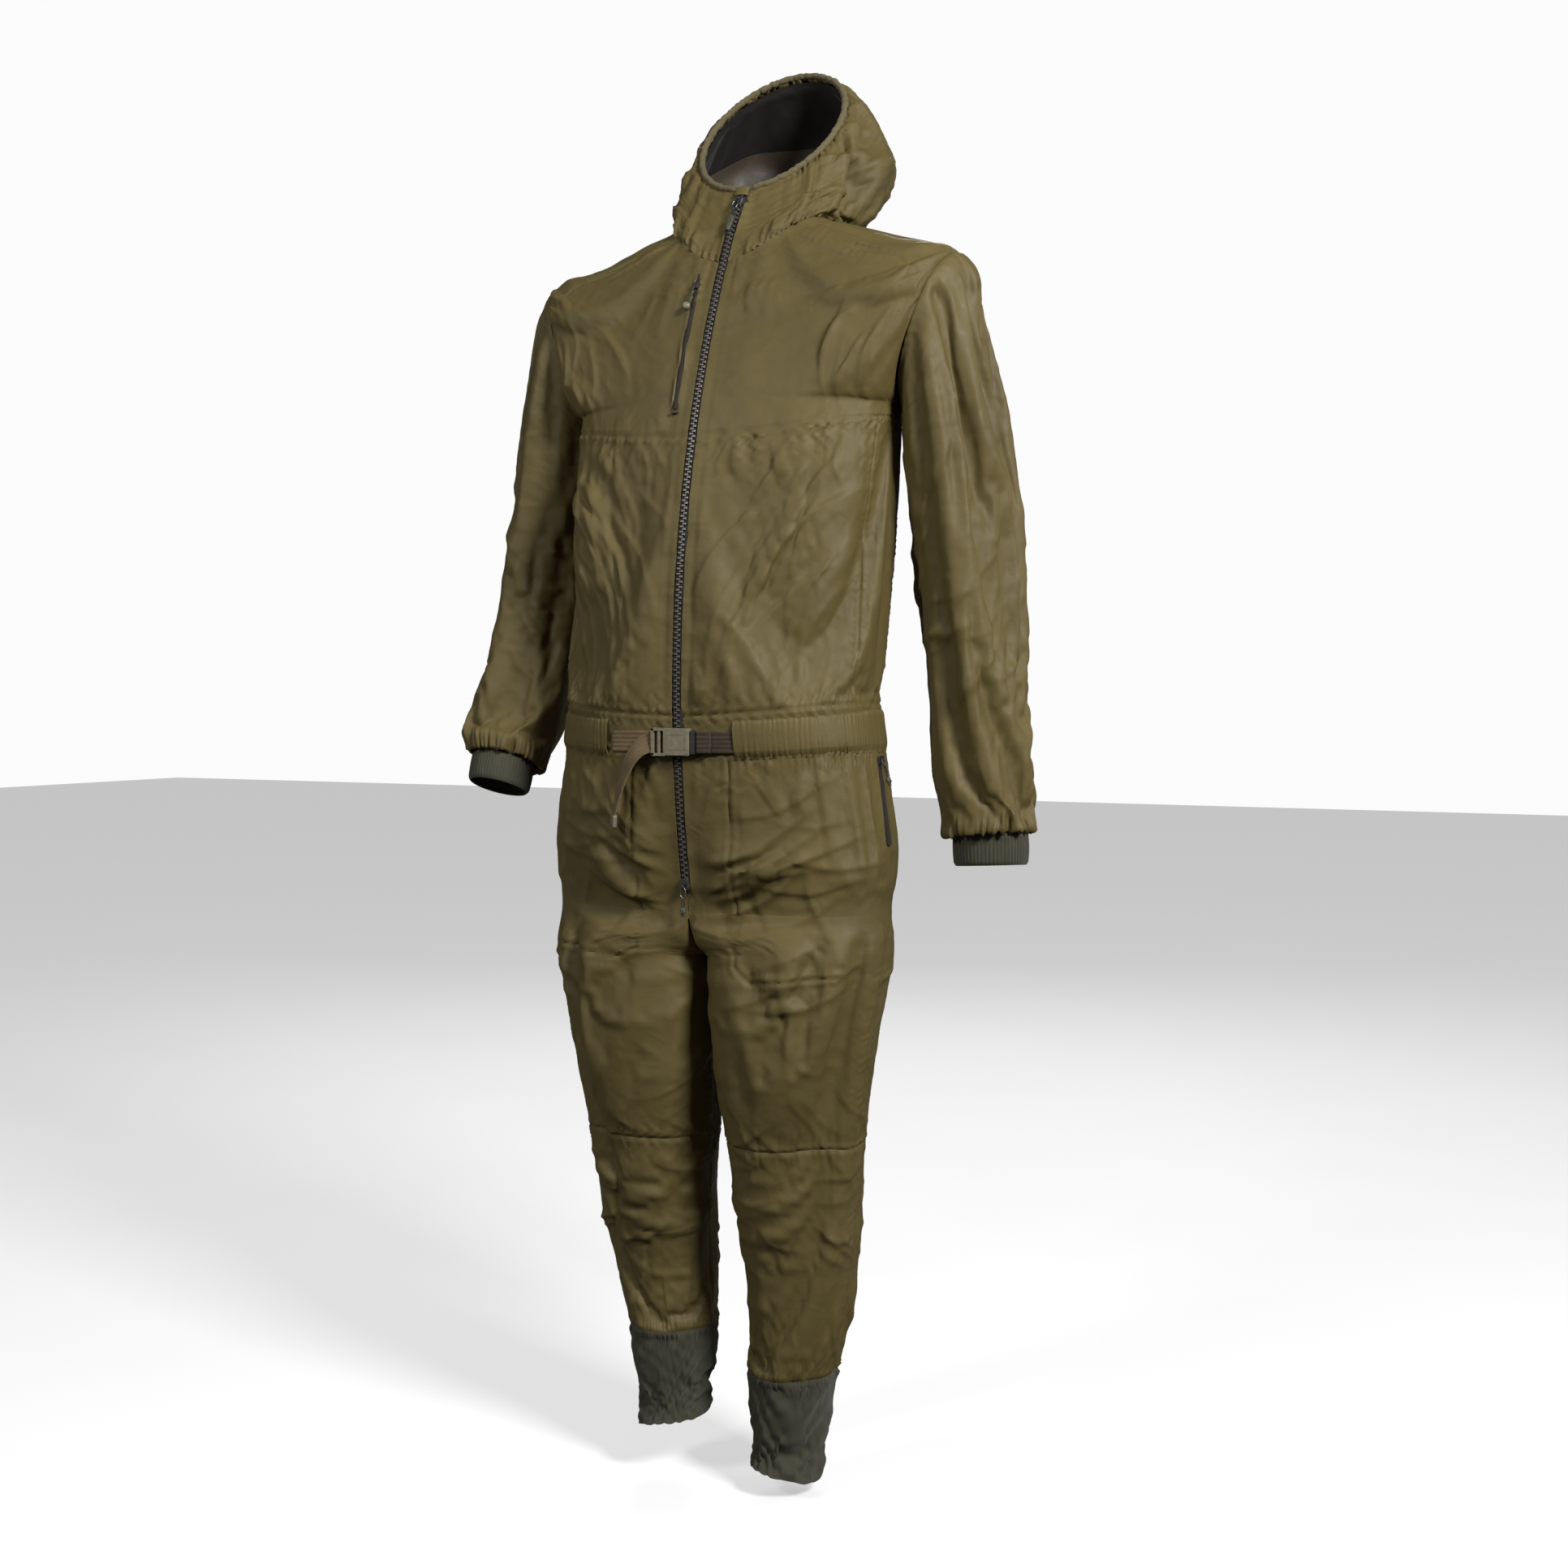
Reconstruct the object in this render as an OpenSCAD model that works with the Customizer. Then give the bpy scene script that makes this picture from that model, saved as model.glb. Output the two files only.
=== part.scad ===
// Hooded one-piece insulated coverall, worn shape, hung by its neck loop.
// Millimetres. +X is the wearer's left, -Y the front, +Z up.
// The origin is the underside of the hanger loop at the back of the neck.

/* [Zip line] */
// Radius of the long arc that the front zip follows
zip_radius = 1224; // [1180:2:1300]
// How far the arc's axis lies behind the hanger loop
zip_axis_y = 968; // [930:2:1040]
// Height of the arc's axis
zip_axis_z = -578; // [-600:2:-560]
// Angle of the zip's top end at the chin
zip_top = 29.6; // [28:0.1:29.8]
// Angle of the zip's bottom end above the crotch
zip_bottom = -11; // [-12:0.1:-10.8]

/* [Cloth] */
// Thickness of the quilted shell
cloth_t = 3; // [2:0.5:4]
// Thickness of the stretch knit at the ankles and cuffs
knit_t = 2; // [1.5:0.5:3]
// Squareness of the trunk's cross-section, 1 is an ellipse
trunk_round = 0.85; // [0.7:0.05:1]

/* [Hood] */
// Half-width of the face opening
rim_half_w = 92; // [80:1:100]
// How far the hood swells backwards between its rim and the neck
hood_swell = 112; // [80:1:125]
// Height of the inner collar
collar_h = 55; // [40:1:70]

/* [Arms and legs] */
// Radius of the knit cuff's hand opening, side to side
cuff_half_w = 46; // [40:1:52]
// Length of each ankle panel
ankle_h = 130; // [100:5:150]
// Height of the left hem
hem_z = -1528; // [-1540:2:-1500]
// How much higher the bent right leg's hem is
hem_lift = 38; // [0:2:60]
// Depth of the crotch seam below the seat
crotch_drop = 58; // [40:1:70]

/* [Belt] */
// Width of the belt webbing
belt_w = 25; // [20:1:25]
// Thickness of the belt webbing
belt_t = 1.8; // [1.2:0.1:2]
// Height of the belt's centre line
belt_z = -634; // [-636:1:-632]
// Length of the buckle
buckle_l = 50; // [46:1:54]
// Height of the buckle
buckle_h = 32; // [30:1:34]

/* [Hidden] */

olive = [0.36, 0.31, 0.2];
dark_olive = [0.25, 0.22, 0.14];
knit_grey = [0.33, 0.32, 0.25];
black = [0.08, 0.08, 0.08];
zip_grey = [0.35, 0.34, 0.32];
tan = [0.42, 0.33, 0.2];

// --- Vector helpers -------------------------------------------------------------------------

function unit(v) = v / max(norm(v), 0.000001);
function mix(a, b, k) = a + (b - a) * k;
// Value of a table of rows at a fractional row number
function station(rows, v) =
    let (last = len(rows) - 1, i = min(max(floor(v), 0), last - 1), k = min(max(v, 0), last) - i)
    mix(rows[i], rows[i + 1], k);
function mirrored(p, side) = [side * p[0], p[1], p[2]];

// --- The front centre line --------------------------------------------------------------------

function zip_y(z) = zip_axis_y - sqrt(pow(zip_radius, 2) - pow(z - zip_axis_z, 2));

// --- Trunk ------------------------------------------------------------------------------------

// Rows from the neck seam down to the seat's lower edge, each
// [front z, half-width, side y, side z, back y, back z]
trunk_rows = [
    [-62, 98, -62, -4, 4, -22],
    [-95, 188, -62, -33, 14, -45],
    [-125, 274, -62, -63, 20, -88],
    [-175, 240, -66, -150, 16, -160],
    [-235, 208, -78, -237, -4, -238],
    [-410, 206, -125, -410, -22, -410],
    [-604, 198, -141, -590, -33, -590],
    [-648, 203, -143, -638, -33, -638],
    [-760, 224, -148, -760, -31, -760],
    [-835, 218, -150, -835, -40, -835]];
neck = 0;
shoulder_tip = 2;
underarm = 4;
waist_top = 6;
waist_base = 7;
seat_base = 9;
// Centre of the armhole and its half-axes, towards the shoulder tip and front to back
armhole_c = [241, -70, -150];
armhole_up = [33, 8, 87];
armhole_half_d = 66;

// A point of the armhole: 0 at the shoulder tip, 1 at the underarm, front -1 or back 1
function armhole(k, face) = armhole_c + armhole_up * cos(180 * k)
    + [0, face * armhole_half_d * sin(180 * k), 0];
function trunk_side(v, face) = (v > shoulder_tip && v < underarm)
    ? armhole((v - shoulder_tip) / (underarm - shoulder_tip), face)
    : let (r = station(trunk_rows, v)) [r[1], r[2], r[3]];
// u runs 0 at the zip, 1 at the wearer's left side, 2 at the centre back; negative on the right
function trunk(u0, v) =
    let (u = u0 > 2 ? u0 - 4 : u0, s = u < 0 ? -1 : 1, a = abs(u), r = station(trunk_rows, v),
        front = a <= 1, w = front ? a : 2 - a, e = trunk_side(v, front ? -1 : 1),
        g = front ? [0, zip_y(r[0]), r[0]] : [0, r[4], r[5]])
    [s * e[0] * pow(sin(90 * w), trunk_round), mix(e[1], g[1], pow(cos(90 * w), trunk_round)),
        mix(g[2], e[2], pow(sin(90 * w), 1.4))];
function trunk_core(p) = [0, -110, p[2] - 20];
// u of the point that lies a given distance from the zip's centre
function zip_edge(x, v) = asin(pow(x / trunk_side(v, -1)[0], 1 / trunk_round)) / 90;

// --- Legs -------------------------------------------------------------------------------------

// Rings below the seat, each [centre x, centre y, z, half-width, half-depth]
leg_rows = [
    [112, -148, -890, 106, 104],
    [108, -156, -965, 95, 99],
    [102, -148, -1050, 84, 92],
    [98, -138, -1112, 78, 84],
    [97, -133, -1185, 73, 79],
    [94, -118, -1290, 64, 71],
    [84, -120, hem_z + ankle_h, 52, 60],
    [79, -125, hem_z + 50, 45, 53],
    [79, -128, hem_z, 44, 54]];
thigh_top = 1;
knee_top = 3;
knee_base = 4;
ankle_top = 6;
// u runs 0 at the front of the ring, 0.25 at the outside, 0.5 at the back; v -1 is the rise seam
function rise(u) = u <= 0.5 ? trunk(u * 4, seat_base)
    : let (f = trunk(0, seat_base), b = trunk(2, seat_base), a = 360 * u)
        [1, mix(b[1], f[1], (1 + cos(a)) / 2), f[2] - crotch_drop * pow(abs(sin(a)), 0.8)];
function leg_ring(u, v, side) = let (r = station(leg_rows, v), lift = side < 0 ? hem_lift : 0)
    [r[0] + r[3] * sin(360 * u), r[1] - r[4] * cos(360 * u),
        r[2] + lift * min(max((v - knee_base) / 2, 0), 1)];
function leg(u, v, side) = let (q = u - floor(u))
    mirrored(v >= 0 ? leg_ring(q, v, side) : mix(leg_ring(q, 0, side), rise(q), -v), side);
function leg_core(p) = [sign(p[0]) * 95, -135, p[2]];

// --- Arms -------------------------------------------------------------------------------------

// Rings along each arm: [centre x, y, z, half-width, lean, half-depth, pitch]
left_arm_rows = [
    [241, -70, -150, 94, 69.2, 66, 0],
    [269, -70, -226.5, 73.7, 38, 70, 0],
    [284, -64, -335, 71, 12, 68, 0],
    [300, -60, -520, 68, 5, 62, 2],
    [311, -66, -670, 64, 4, 55, 3],
    [317, -69, -728, 56, 3, 48, 3],
    [318, -70, -744, cuff_half_w + 1, 3, 40, 3],
    [319, -70, -774, cuff_half_w, 3, 39, 3]];
right_arm_rows = [
    [241, -70, -150, 94, 69.2, 66, 0],
    [269, -70, -226.5, 73.7, 38, 70, 0],
    [284, -66, -330, 70, 12, 68, 4],
    [294, -85, -480, 68, 5, 62, 14],
    [305, -133, -600, 62, 4, 54, 23],
    [309, -155, -650, 54, 4, 47, 24],
    [309, -161, -664, cuff_half_w, 4, 39, 24],
    [309, -173, -691, cuff_half_w - 1, 4, 38, 24]];
// A point inside the arm at a point's height
function arm_core(p, side) = let (bend = side > 0 ? 0 : max(0, (-480 - p[2]) * 0.4))
    [side * (p[2] > -226 ? 250 : 300), -70 - bend, p[2]];
cap_top = 0.07;
cap_base = 1.45;
cuff_top = 6;
cuff_base = 7;
// u runs 0 at the outside of the arm, 0.25 at the front; v 0 is the armhole
function arm_frame(v, side) = station(side > 0 ? left_arm_rows : right_arm_rows, v);
function arm(u, v, side) = let (r = arm_frame(v, side), a = 360 * u,
        out = r[3] * [cos(r[4]), 0, sin(r[4])], fore = r[5] * [0, -cos(r[6]), sin(r[6])])
    mirrored([r[0], r[1], r[2]] + out * cos(a) + fore * sin(a), side);

// --- Hood -------------------------------------------------------------------------------------

rim_c = [0, -12, 121];
rim_fall = [0, -77, -86];
// u runs 0 at the chin, 1 at the wearer's left, 2 at the crown; v 0 at the rim, 1 at the neck
function rim(u) = rim_c + [rim_half_w * sin(90 * u), 0, 0] + rim_fall * cos(90 * u);
function hood(u, v) =
    let (back = (1 - cos(90 * u)) / 2, swell = 4 + hood_swell * pow(back, 2.1))
    mix(rim(u), trunk(u, neck), v)
        + swell * sin(180 * pow(v, 1.15)) * unit([sin(90 * u), -cos(90 * u), 1.15 * back * (1 - 1.5 * v)]);
function hood_core(p) = [0, 0, 70];
// The collar stands inside the hood and leans back with it; u as the hood's, v 0 at the neck
function collar(u, v) = let (p = trunk(u, neck), c = cos(90 * u))
    [p[0] * 0.86, mix(-66, p[1], 0.895 - 0.055 * c) + v * (26 + 10 * c), p[2] - 3 + collar_h * v];

// --- Cloth walls -------------------------------------------------------------------------------

step_u = 0.02;
step_v = 0.02;
function slope_u(surf, u, v) = surf(u + step_u, v) - surf(u - step_u, v);
function slope_v(surf, u, v) = surf(u, v + step_v) - surf(u, v - step_v);
function outward(surf, core, u, v) = let (n = cross(slope_u(surf, u, v), slope_v(surf, u, v)),
        p = surf(u, v)) unit(n) * (n * (p - core(p)) < 0 ? -1 : 1);

// A sheet of cloth of thickness t whose outer face is the surface, between rows v0 and v1 and
// the edges from(v) and to(v). lift moves the whole sheet outwards; a ring joins its own edges.
module wall(surf, core, from, to, v0, v1, nu, nv, t, lift = 0, ring = false) {
    cols = ring ? nu : nu + 1;
    uv = [for (j = [0 : nv], i = [0 : cols - 1])
        let (v = mix(v0, v1, j / nv)) [mix(from(v), to(v), i / nu), v]];
    normals = [for (q = uv) outward(surf, core, q[0], q[1])];
    outer = [for (k = [0 : len(uv) - 1]) surf(uv[k][0], uv[k][1]) + lift * normals[k]];
    inner = [for (k = [0 : len(uv) - 1]) outer[k] - t * normals[k]];
    n = len(uv);
    middle = uv[floor(nv / 2) * cols + floor(cols / 2)];
    turn = cross(slope_u(surf, middle[0], middle[1]), slope_v(surf, middle[0], middle[1]))
        * outward(surf, core, middle[0], middle[1]) * sign(to(v0) - from(v0)) * sign(v1 - v0) > 0;
    span = nu - 1;
    quads = [for (j = [0 : nv - 1], i = [0 : span])
        let (a = j * cols + i, b = j * cols + (i + 1) % cols) [a, b, b + cols, a + cols]];
    rims = concat(
        [for (i = [0 : span]) let (a = i, b = (i + 1) % cols) [b, a, a + n, b + n]],
        [for (i = [0 : span]) let (a = nv * cols + i, b = nv * cols + (i + 1) % cols)
            [a, b, b + n, a + n]]);
    ends = ring ? [] : concat(
        [for (j = [0 : nv - 1]) let (a = j * cols, b = a + cols) [a, b, b + n, a + n]],
        [for (j = [0 : nv - 1]) let (a = j * cols + nu, b = a + cols) [b, a, a + n, b + n]]);
    all_quads = concat(quads, [for (q = quads) [q[3] + n, q[2] + n, q[1] + n, q[0] + n]],
        rims, ends);
    faces = [for (q = all_quads, half = [0, 1])
        let (f = half == 0 ? [q[0], q[1], q[2]] : [q[0], q[2], q[3]])
        turn ? [f[2], f[1], f[0]] : f];
    polyhedron(points = concat(outer, inner), faces = faces, convexity = 6);
}

function const(c) = function (v) c;

module trunk_wall(u0, u1, v0, v1, nu, nv, t = cloth_t, lift = 0)
    wall(function (u, v) trunk(u, v), function (p) trunk_core(p), const(u0), const(u1),
        v0, v1, nu, nv, t, lift);
// A front panel that starts beside the zip; to(v) gives its outer edge
module zip_side_wall(side, to, v0, v1, nu, nv)
    wall(function (u, v) trunk(u, v), function (p) trunk_core(p),
        function (v) side * zip_edge(zip_gap, v), function (v) side * to(v), v0, v1, nu, nv, cloth_t);
module leg_wall(side, v0, v1, nv, t = cloth_t)
    wall(function (u, v) leg(u, v, side), function (p) leg_core(p), const(0), const(1),
        v0, v1, 20, nv, t, ring = true);
module arm_wall(side, v0, v1, nv, t = cloth_t)
    wall(function (u, v) arm(u, v, side),
        function (p) arm_core(p, side),
        const(0), const(1), v0, v1, 16, nv, t, ring = true);

// --- Trunk panels -------------------------------------------------------------------------------

zip_gap = 9;
seam_v = 0.012;
yoke_edge = 0.72;
yoke_end = 2.55;
chest_seam = 4.25;
side_front = 0.82;
side_back = 1.2;
// Just behind the side line, where the armhole's back edge starts
back_edge = 1.001;
back_seam = 2.8;
// Front edge of the shoulder piece: it narrows to nothing on the armhole
function yoke_line(v) = v < shoulder_tip ? yoke_edge
    : mix(yoke_edge, 0.97, min((v - shoulder_tip) / (yoke_end - shoulder_tip), 1));
// Edge of the back panel: it follows the armhole, then the side panel
function back_line(v) = mix(back_edge, side_back, min(max((v - underarm) / 0.2, 0), 1));
function chest_outer(v) = v < yoke_end + 0.01 ? yoke_line(v) : v < underarm ? 1
    : mix(1, side_front, min((v - underarm) / 0.25, 1));

module chest(side) color(olive)
    zip_side_wall(side, function (v) chest_outer(v), neck, chest_seam, 6, 10);
module front(side) color(olive)
    zip_side_wall(side, const(side_front), chest_seam, waist_top - seam_v / 2, 6, 5);
module shoulder(side) color(olive)
    wall(function (u, v) trunk(u, v), function (p) trunk_core(p),
        function (v) side * yoke_line(v), const(side), neck, yoke_end, 3, 5, cloth_t);
module side_panel(side) color(dark_olive)
    trunk_wall(side * (side_front + seam_v), side * (side_back - seam_v), chest_seam,
        waist_top - seam_v / 2, 3, 7);
module lower_front(side) color(olive)
    zip_side_wall(side, const(1), waist_base + seam_v / 2, seat_base, 8, 4);

module chest_left() chest(1);
module chest_right() chest(-1);
module front_left() front(1);
module front_right() front(-1);
module shoulder_left() shoulder(1);
module shoulder_right() shoulder(-1);
module side_left() side_panel(1);
module side_right() side_panel(-1);
module lower_front_left() lower_front(1);
module lower_front_right() lower_front(-1);
module back_yoke() color(olive) trunk_wall(back_edge, 4 - back_edge, neck, back_seam - seam_v, 12, 5);
module back_panel() color(olive)
    wall(function (u, v) trunk(u, v), function (p) trunk_core(p), function (v) back_line(v),
        function (v) 4 - back_line(v), back_seam, waist_top - seam_v / 2, 14, 16, cloth_t);
module seat() color(olive) trunk_wall(1, 3, waist_base + seam_v / 2, seat_base, 16, 4);

// The waistband: the suit's own layer, and round it a tunnel for the belt that ends either side
// of the buckle. The tunnel's rows are [trunk row, distance out from the suit's own layer]
tunnel_rows = [[6.1, 2.4], [6.2, 9], [6.6, 9], [7.03, 9], [7.1, 2.4]];
tunnel_cloth = 1.5;
tunnel_from = 0.19;
tunnel_to = 3.86;
function tunnel(u, k) = let (r = station(tunnel_rows, k), p = trunk(u, r[0]))
    p + r[1] * outward(function (a, b) trunk(a, b), function (q) trunk_core(q), u, r[0]);
module waistband() color(olive) {
    trunk_wall(0.02, 3.98, waist_top, waist_base, 28, 1);
    wall(function (u, k) tunnel(u, k), function (p) trunk_core(p), const(tunnel_from),
        const(tunnel_to), 0, len(tunnel_rows) - 1, 26, len(tunnel_rows) - 1, tunnel_cloth);
}

// --- Legs, sleeves and cuffs --------------------------------------------------------------------

module hip(side) color(olive) leg_wall(side, seam_v - 1, thigh_top, 4);
module thigh(side) color(olive) leg_wall(side, thigh_top, knee_top, 3);
module knee(side) color(olive) leg_wall(side, knee_top, knee_base, 1);
module shin(side) color(olive) leg_wall(side, knee_base + seam_v, ankle_top, 4);
module ankle(side) color(knit_grey) leg_wall(side, ankle_top, ankle_top + 2, 3, knit_t);
module sleeve_cap(side) color(olive) arm_wall(side, cap_top, cap_base, 3);
module sleeve(side) color(olive) arm_wall(side, cap_base + seam_v, cuff_top, 6);
module cuff(side) color(knit_grey) arm_wall(side, cuff_top, cuff_base, 1, knit_t);

module hip_left() hip(1);
module hip_right() hip(-1);
module thigh_left() thigh(1);
module thigh_right() thigh(-1);
module knee_left() knee(1);
module knee_right() knee(-1);
module shin_left() shin(1);
module shin_right() shin(-1);
module ankle_left() ankle(1);
module ankle_right() ankle(-1);
module sleeve_cap_left() sleeve_cap(1);
module sleeve_cap_right() sleeve_cap(-1);
module sleeve_left() sleeve(1);
module sleeve_right() sleeve(-1);
module cuff_left() cuff(1);
module cuff_right() cuff(-1);

// --- Hood -----------------------------------------------------------------------------------------

hood_seam = 1.5;
rim_v = 0.06;
binding_r = 4;
lining_t = 1;
lining_depth = 6.2;
loop_r = 600;
loop_half_angle = 2.88;
loop_h = 7;
loop_t = 1.2;

module hood_side(side) color(olive)
    wall(function (u, v) hood(u, v), function (p) hood_core(p),
        function (v) side * mix(0.0624, zip_edge(zip_gap, neck), v), const(side * (hood_seam - 0.004)),
        rim_v, 1 - seam_v, 9, 12, cloth_t);
module hood_left() hood_side(1);
module hood_right() hood_side(-1);
module hood_centre() color(olive)
    wall(function (u, v) hood(u, v), function (p) hood_core(p), const(hood_seam),
        const(4 - hood_seam), rim_v, 1 - seam_v, 8, 12, cloth_t);
module hood_lining() color(black)
    wall(function (u, v) hood(u, v), function (p) hood_core(p), const(0.35), const(3.65),
        rim_v + 0.02, 0.95, 26, 11, lining_t, -lining_depth);
module inner_collar() color(dark_olive)
    wall(function (u, v) collar(u, v), function (p) hood_core(p), const(0.22), const(3.78),
        0, 1, 20, 1, cloth_t);

// A round tube through a list of points; ref is any direction that no stretch runs along
module tube(points, r, sides, ref) {
    last = len(points) - 1;
    rings = [for (i = [0 : last])
        let (t = unit(points[min(i + 1, last)] - points[max(i - 1, 0)]), a = unit(cross(t, ref)),
            b = cross(t, a))
        for (k = [0 : sides - 1]) points[i] + r * (a * cos(360 * k / sides)
            + b * sin(360 * k / sides))];
    walls = [for (i = [0 : last - 1], k = [0 : sides - 1])
        let (p = i * sides + k, q = i * sides + (k + 1) % sides)
        for (f = [[p, q, q + sides], [p, q + sides, p + sides]]) f];
    caps = [[for (k = [sides - 1 : -1 : 0]) k], [for (k = [0 : sides - 1]) last * sides + k]];
    polyhedron(points = rings, faces = concat(walls, caps), convexity = 4);
}
module hood_binding() color(dark_olive)
    tube([for (i = [0 : 30]) rim(mix(0.12, 3.88, i / 30))], binding_r, 8, cross(rim_fall, [1, 0, 0]));

// A tape across the back of the neck that the suit hangs by
module hanger_loop() color(black)
    translate([0, loop_r + loop_t / 2, 0]) rotate([0, 0, -90 - loop_half_angle])
        rotate_extrude(angle = 2 * loop_half_angle, $fn = 180) translate([loop_r, 0])
            square([loop_t, loop_h]);

// --- Front zip --------------------------------------------------------------------------------------

tape_depth = 5.6;
tape_t = 0.9;
tape_w = 15;
chain_half_w = 3.6;
chain_proud = 1;
slider_l = 0.66;
slider_half_w = 6;
bail_out = 7.2;
pin_r = 0.9;
pin_clearance = 0.06;
pull_w = 8;
pull_wire_l = 12;
pull_cord_l = 13;
grip_l = 22;
upper_slider_at = 28.75;
lower_slider_at = -10.85;

// Revolves a profile about the zip's axis: x of the profile is the radius, y is sideways
module along_zip(from, to) translate([0, zip_axis_y, zip_axis_z]) rotate([90, 0, -90])
    rotate([0, 0, from]) rotate_extrude(angle = to - from, $fn = 720) children();
// Puts children at an angle on the zip line: -Y points out of the cloth, +Z up along the zip
module at_zip(angle, out) translate([0, zip_axis_y, zip_axis_z]) rotate([-angle, 0, 0])
    translate([0, -zip_radius - out, 0]) children();
module strip(out0, out1, x0, x1) translate([zip_radius + out0, x0]) square([out1 - out0, x1 - x0]);

module zip_tapes() color(black) for (side = [-1, 1]) along_zip(zip_bottom, zip_top)
    strip(-tape_depth - tape_t, -tape_depth, side > 0 ? 1 : -1 - tape_w, side > 0 ? 1 + tape_w : -1);
module zip_teeth() color(zip_grey) along_zip(zip_bottom, zip_top)
    strip(-tape_depth, chain_proud, -chain_half_w, chain_half_w);
module zip_garage() color(olive) along_zip(29.5, 30.1) strip(1.4, 3.4, -9, 9);

// A slider plate over the teeth with the eye that its pull swings in
slider_h = 3;
slider_depth = 2;
flange_t = 1.6;
module slider(angle) {
    along_zip(angle, angle + slider_l) {
        strip(chain_proud + 0.5, chain_proud + slider_h, -slider_half_w, slider_half_w);
        for (side = [-1, 1])
            strip(-slider_depth, chain_proud + slider_h,
                side * (slider_half_w - flange_t / 2) - flange_t / 2,
                side * (slider_half_w - flange_t / 2) + flange_t / 2);
    }
    at_zip(angle + 0.2, 0) difference() {
        translate([-1.6, -bail_out - 2.2, -2.4]) cube([3.2, bail_out + 2.2 - chain_proud - 2.6, 4.8]);
        translate([-3, -bail_out, 0]) rotate([0, 90, 0])
            cylinder(h = 6, r = pin_r + pin_clearance, $fn = 32);
    }
}
// A flat wire loop, a short cord and a moulded grip, hanging from a pin at the origin
module pull(grip) {
    translate([-pull_w / 2, 0, 0]) rotate([0, 90, 0]) cylinder(h = pull_w, r = pin_r, $fn = 32);
    for (side = [-1, 1]) translate([side * pull_w / 2 - 0.8, -1, -pull_wire_l])
        cube([1.6, 2, pull_wire_l + 1.4]);
    translate([-pull_w / 2 + 0.8, -1, -pull_wire_l]) cube([pull_w - 1.6, 2, 1.6]);
    translate([0, 0, -pull_wire_l - pull_cord_l]) cylinder(h = pull_cord_l + 0.6, r = 0.95, $fn = 24);
    translate([0, 2.2, -pull_wire_l - pull_cord_l - grip + 1]) rotate([90, 0, 0]) linear_extrude(4.4)
        hull() for (z = [3, grip - 2]) translate([0, z]) circle(r = z > 3 ? 2.4 : 4, $fn = 32);
}
module upper_slider() color(zip_grey) slider(upper_slider_at);
module lower_slider() color(zip_grey) slider(lower_slider_at);
module upper_pull() color(olive) at_zip(upper_slider_at + 0.2, bail_out) pull(grip_l);
module lower_pull() color(olive) at_zip(lower_slider_at + 0.2, bail_out)
    rotate([lower_slider_at + 0.2, 0, 0]) pull(grip_l / 2);

// --- Pockets ------------------------------------------------------------------------------------------

chest_zip_x = 28;
chest_zip_from = 15.9;
chest_zip_to = 24.2;
chest_slider_at = 23.2;
hip_zip_from = 7.12;
hip_zip_to = 7.95;

module chest_zip() color(black) along_zip(chest_zip_from, chest_zip_to)
    strip(1.3, 2.6, chest_zip_x - 3, chest_zip_x + 3);
module chest_pocket() color(dark_olive) along_zip(chest_zip_from - 1, chest_zip_to - 1.5)
    strip(-24, -21, 26, 104);
module chest_slider() color(black) {
    along_zip(chest_slider_at, chest_slider_at + 0.45)
        strip(3, 5.4, chest_zip_x - 4, chest_zip_x + 4);
    at_zip(chest_slider_at + 0.05, 5.2) translate([-chest_zip_x, 0, 0]) rotate([0, 12, 0]) {
        translate([0, -1.4, -26]) cylinder(h = 27, r = 1.2, $fn = 24);
        translate([0, -1.4, -30]) sphere(r = 5.4, $fn = 24);
    }
}
hip_side = trunk(1, waist_base + 1) - trunk(1, waist_base);
hip_fall = atan(hip_side[0] / -hip_side[2]);
hip_slider_v = 7.15;
module hip_zips() color(black) for (s = [-1, 1])
    trunk_wall(s * 0.985, s * 1.015, hip_zip_from, hip_zip_to, 2, 4, 1, 1.4);
module hip_pockets() color(dark_olive) for (s = [-1, 1])
    trunk_wall(s * 0.6, s * 0.97, 7.15, 8.55, 3, 2, 2, -cloth_t - 2);
module at_hip(side) translate(trunk(side, hip_slider_v)) rotate([0, 0, side < 0 ? 180 : 0])
    rotate([0, -hip_fall, 0]) children();
module hip_slider(side) color(black) at_hip(side) difference() {
    union() {
        translate([1.9, -3.6, -5]) cube([2.1, 7.2, 10]);
        translate([3.8, -1.4, 0.6]) cube([4.6, 2.8, 4.6]);
    }
    translate([6, -3, 3]) rotate([-90, 0, 0]) cylinder(h = 6, r = pin_r + pin_clearance, $fn = 32);
}
module hip_pull(side) color(black) at_hip(side) translate([6, 0, 3]) rotate([0, -8, 0])
    rotate([0, 0, 90]) pull(grip_l / 2);
module hip_slider_left() hip_slider(1);
module hip_slider_right() hip_slider(-1);
module hip_pull_left() hip_pull(1);
module hip_pull_right() hip_pull(-1);

// --- Belt -----------------------------------------------------------------------------------------------

// The belt's front runs on a circle about an upright axis behind the suit
belt_radius = 520;
belt_axis_y = zip_y(belt_z) + belt_radius;
belt_out = 3.6;
// The right half lies behind the buckle's frame
belt_out_right = 1.3;
belt_end_left = 95;
belt_end_right = -92;
buckle_x = -4;
buckle_out = 3.2;
buckle_t = 7.4;
tongue_l = 20;
slot_w = 5;
tail_w = 24;
// How far the loose end turns towards the wearer's right on its way down
tail_twist = 52;
// Route of the belt's loose end, from the buckle's bar down across the front
tail_route = [[-17, -268, -634], [-24, -270, -634], [-34, -270, -636], [-46, -268, -642],
    [-57, -266, -655], [-65, -265, -670], [-71, -266, -687], [-75, -267, -703], [-78, -268, -718]];

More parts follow.
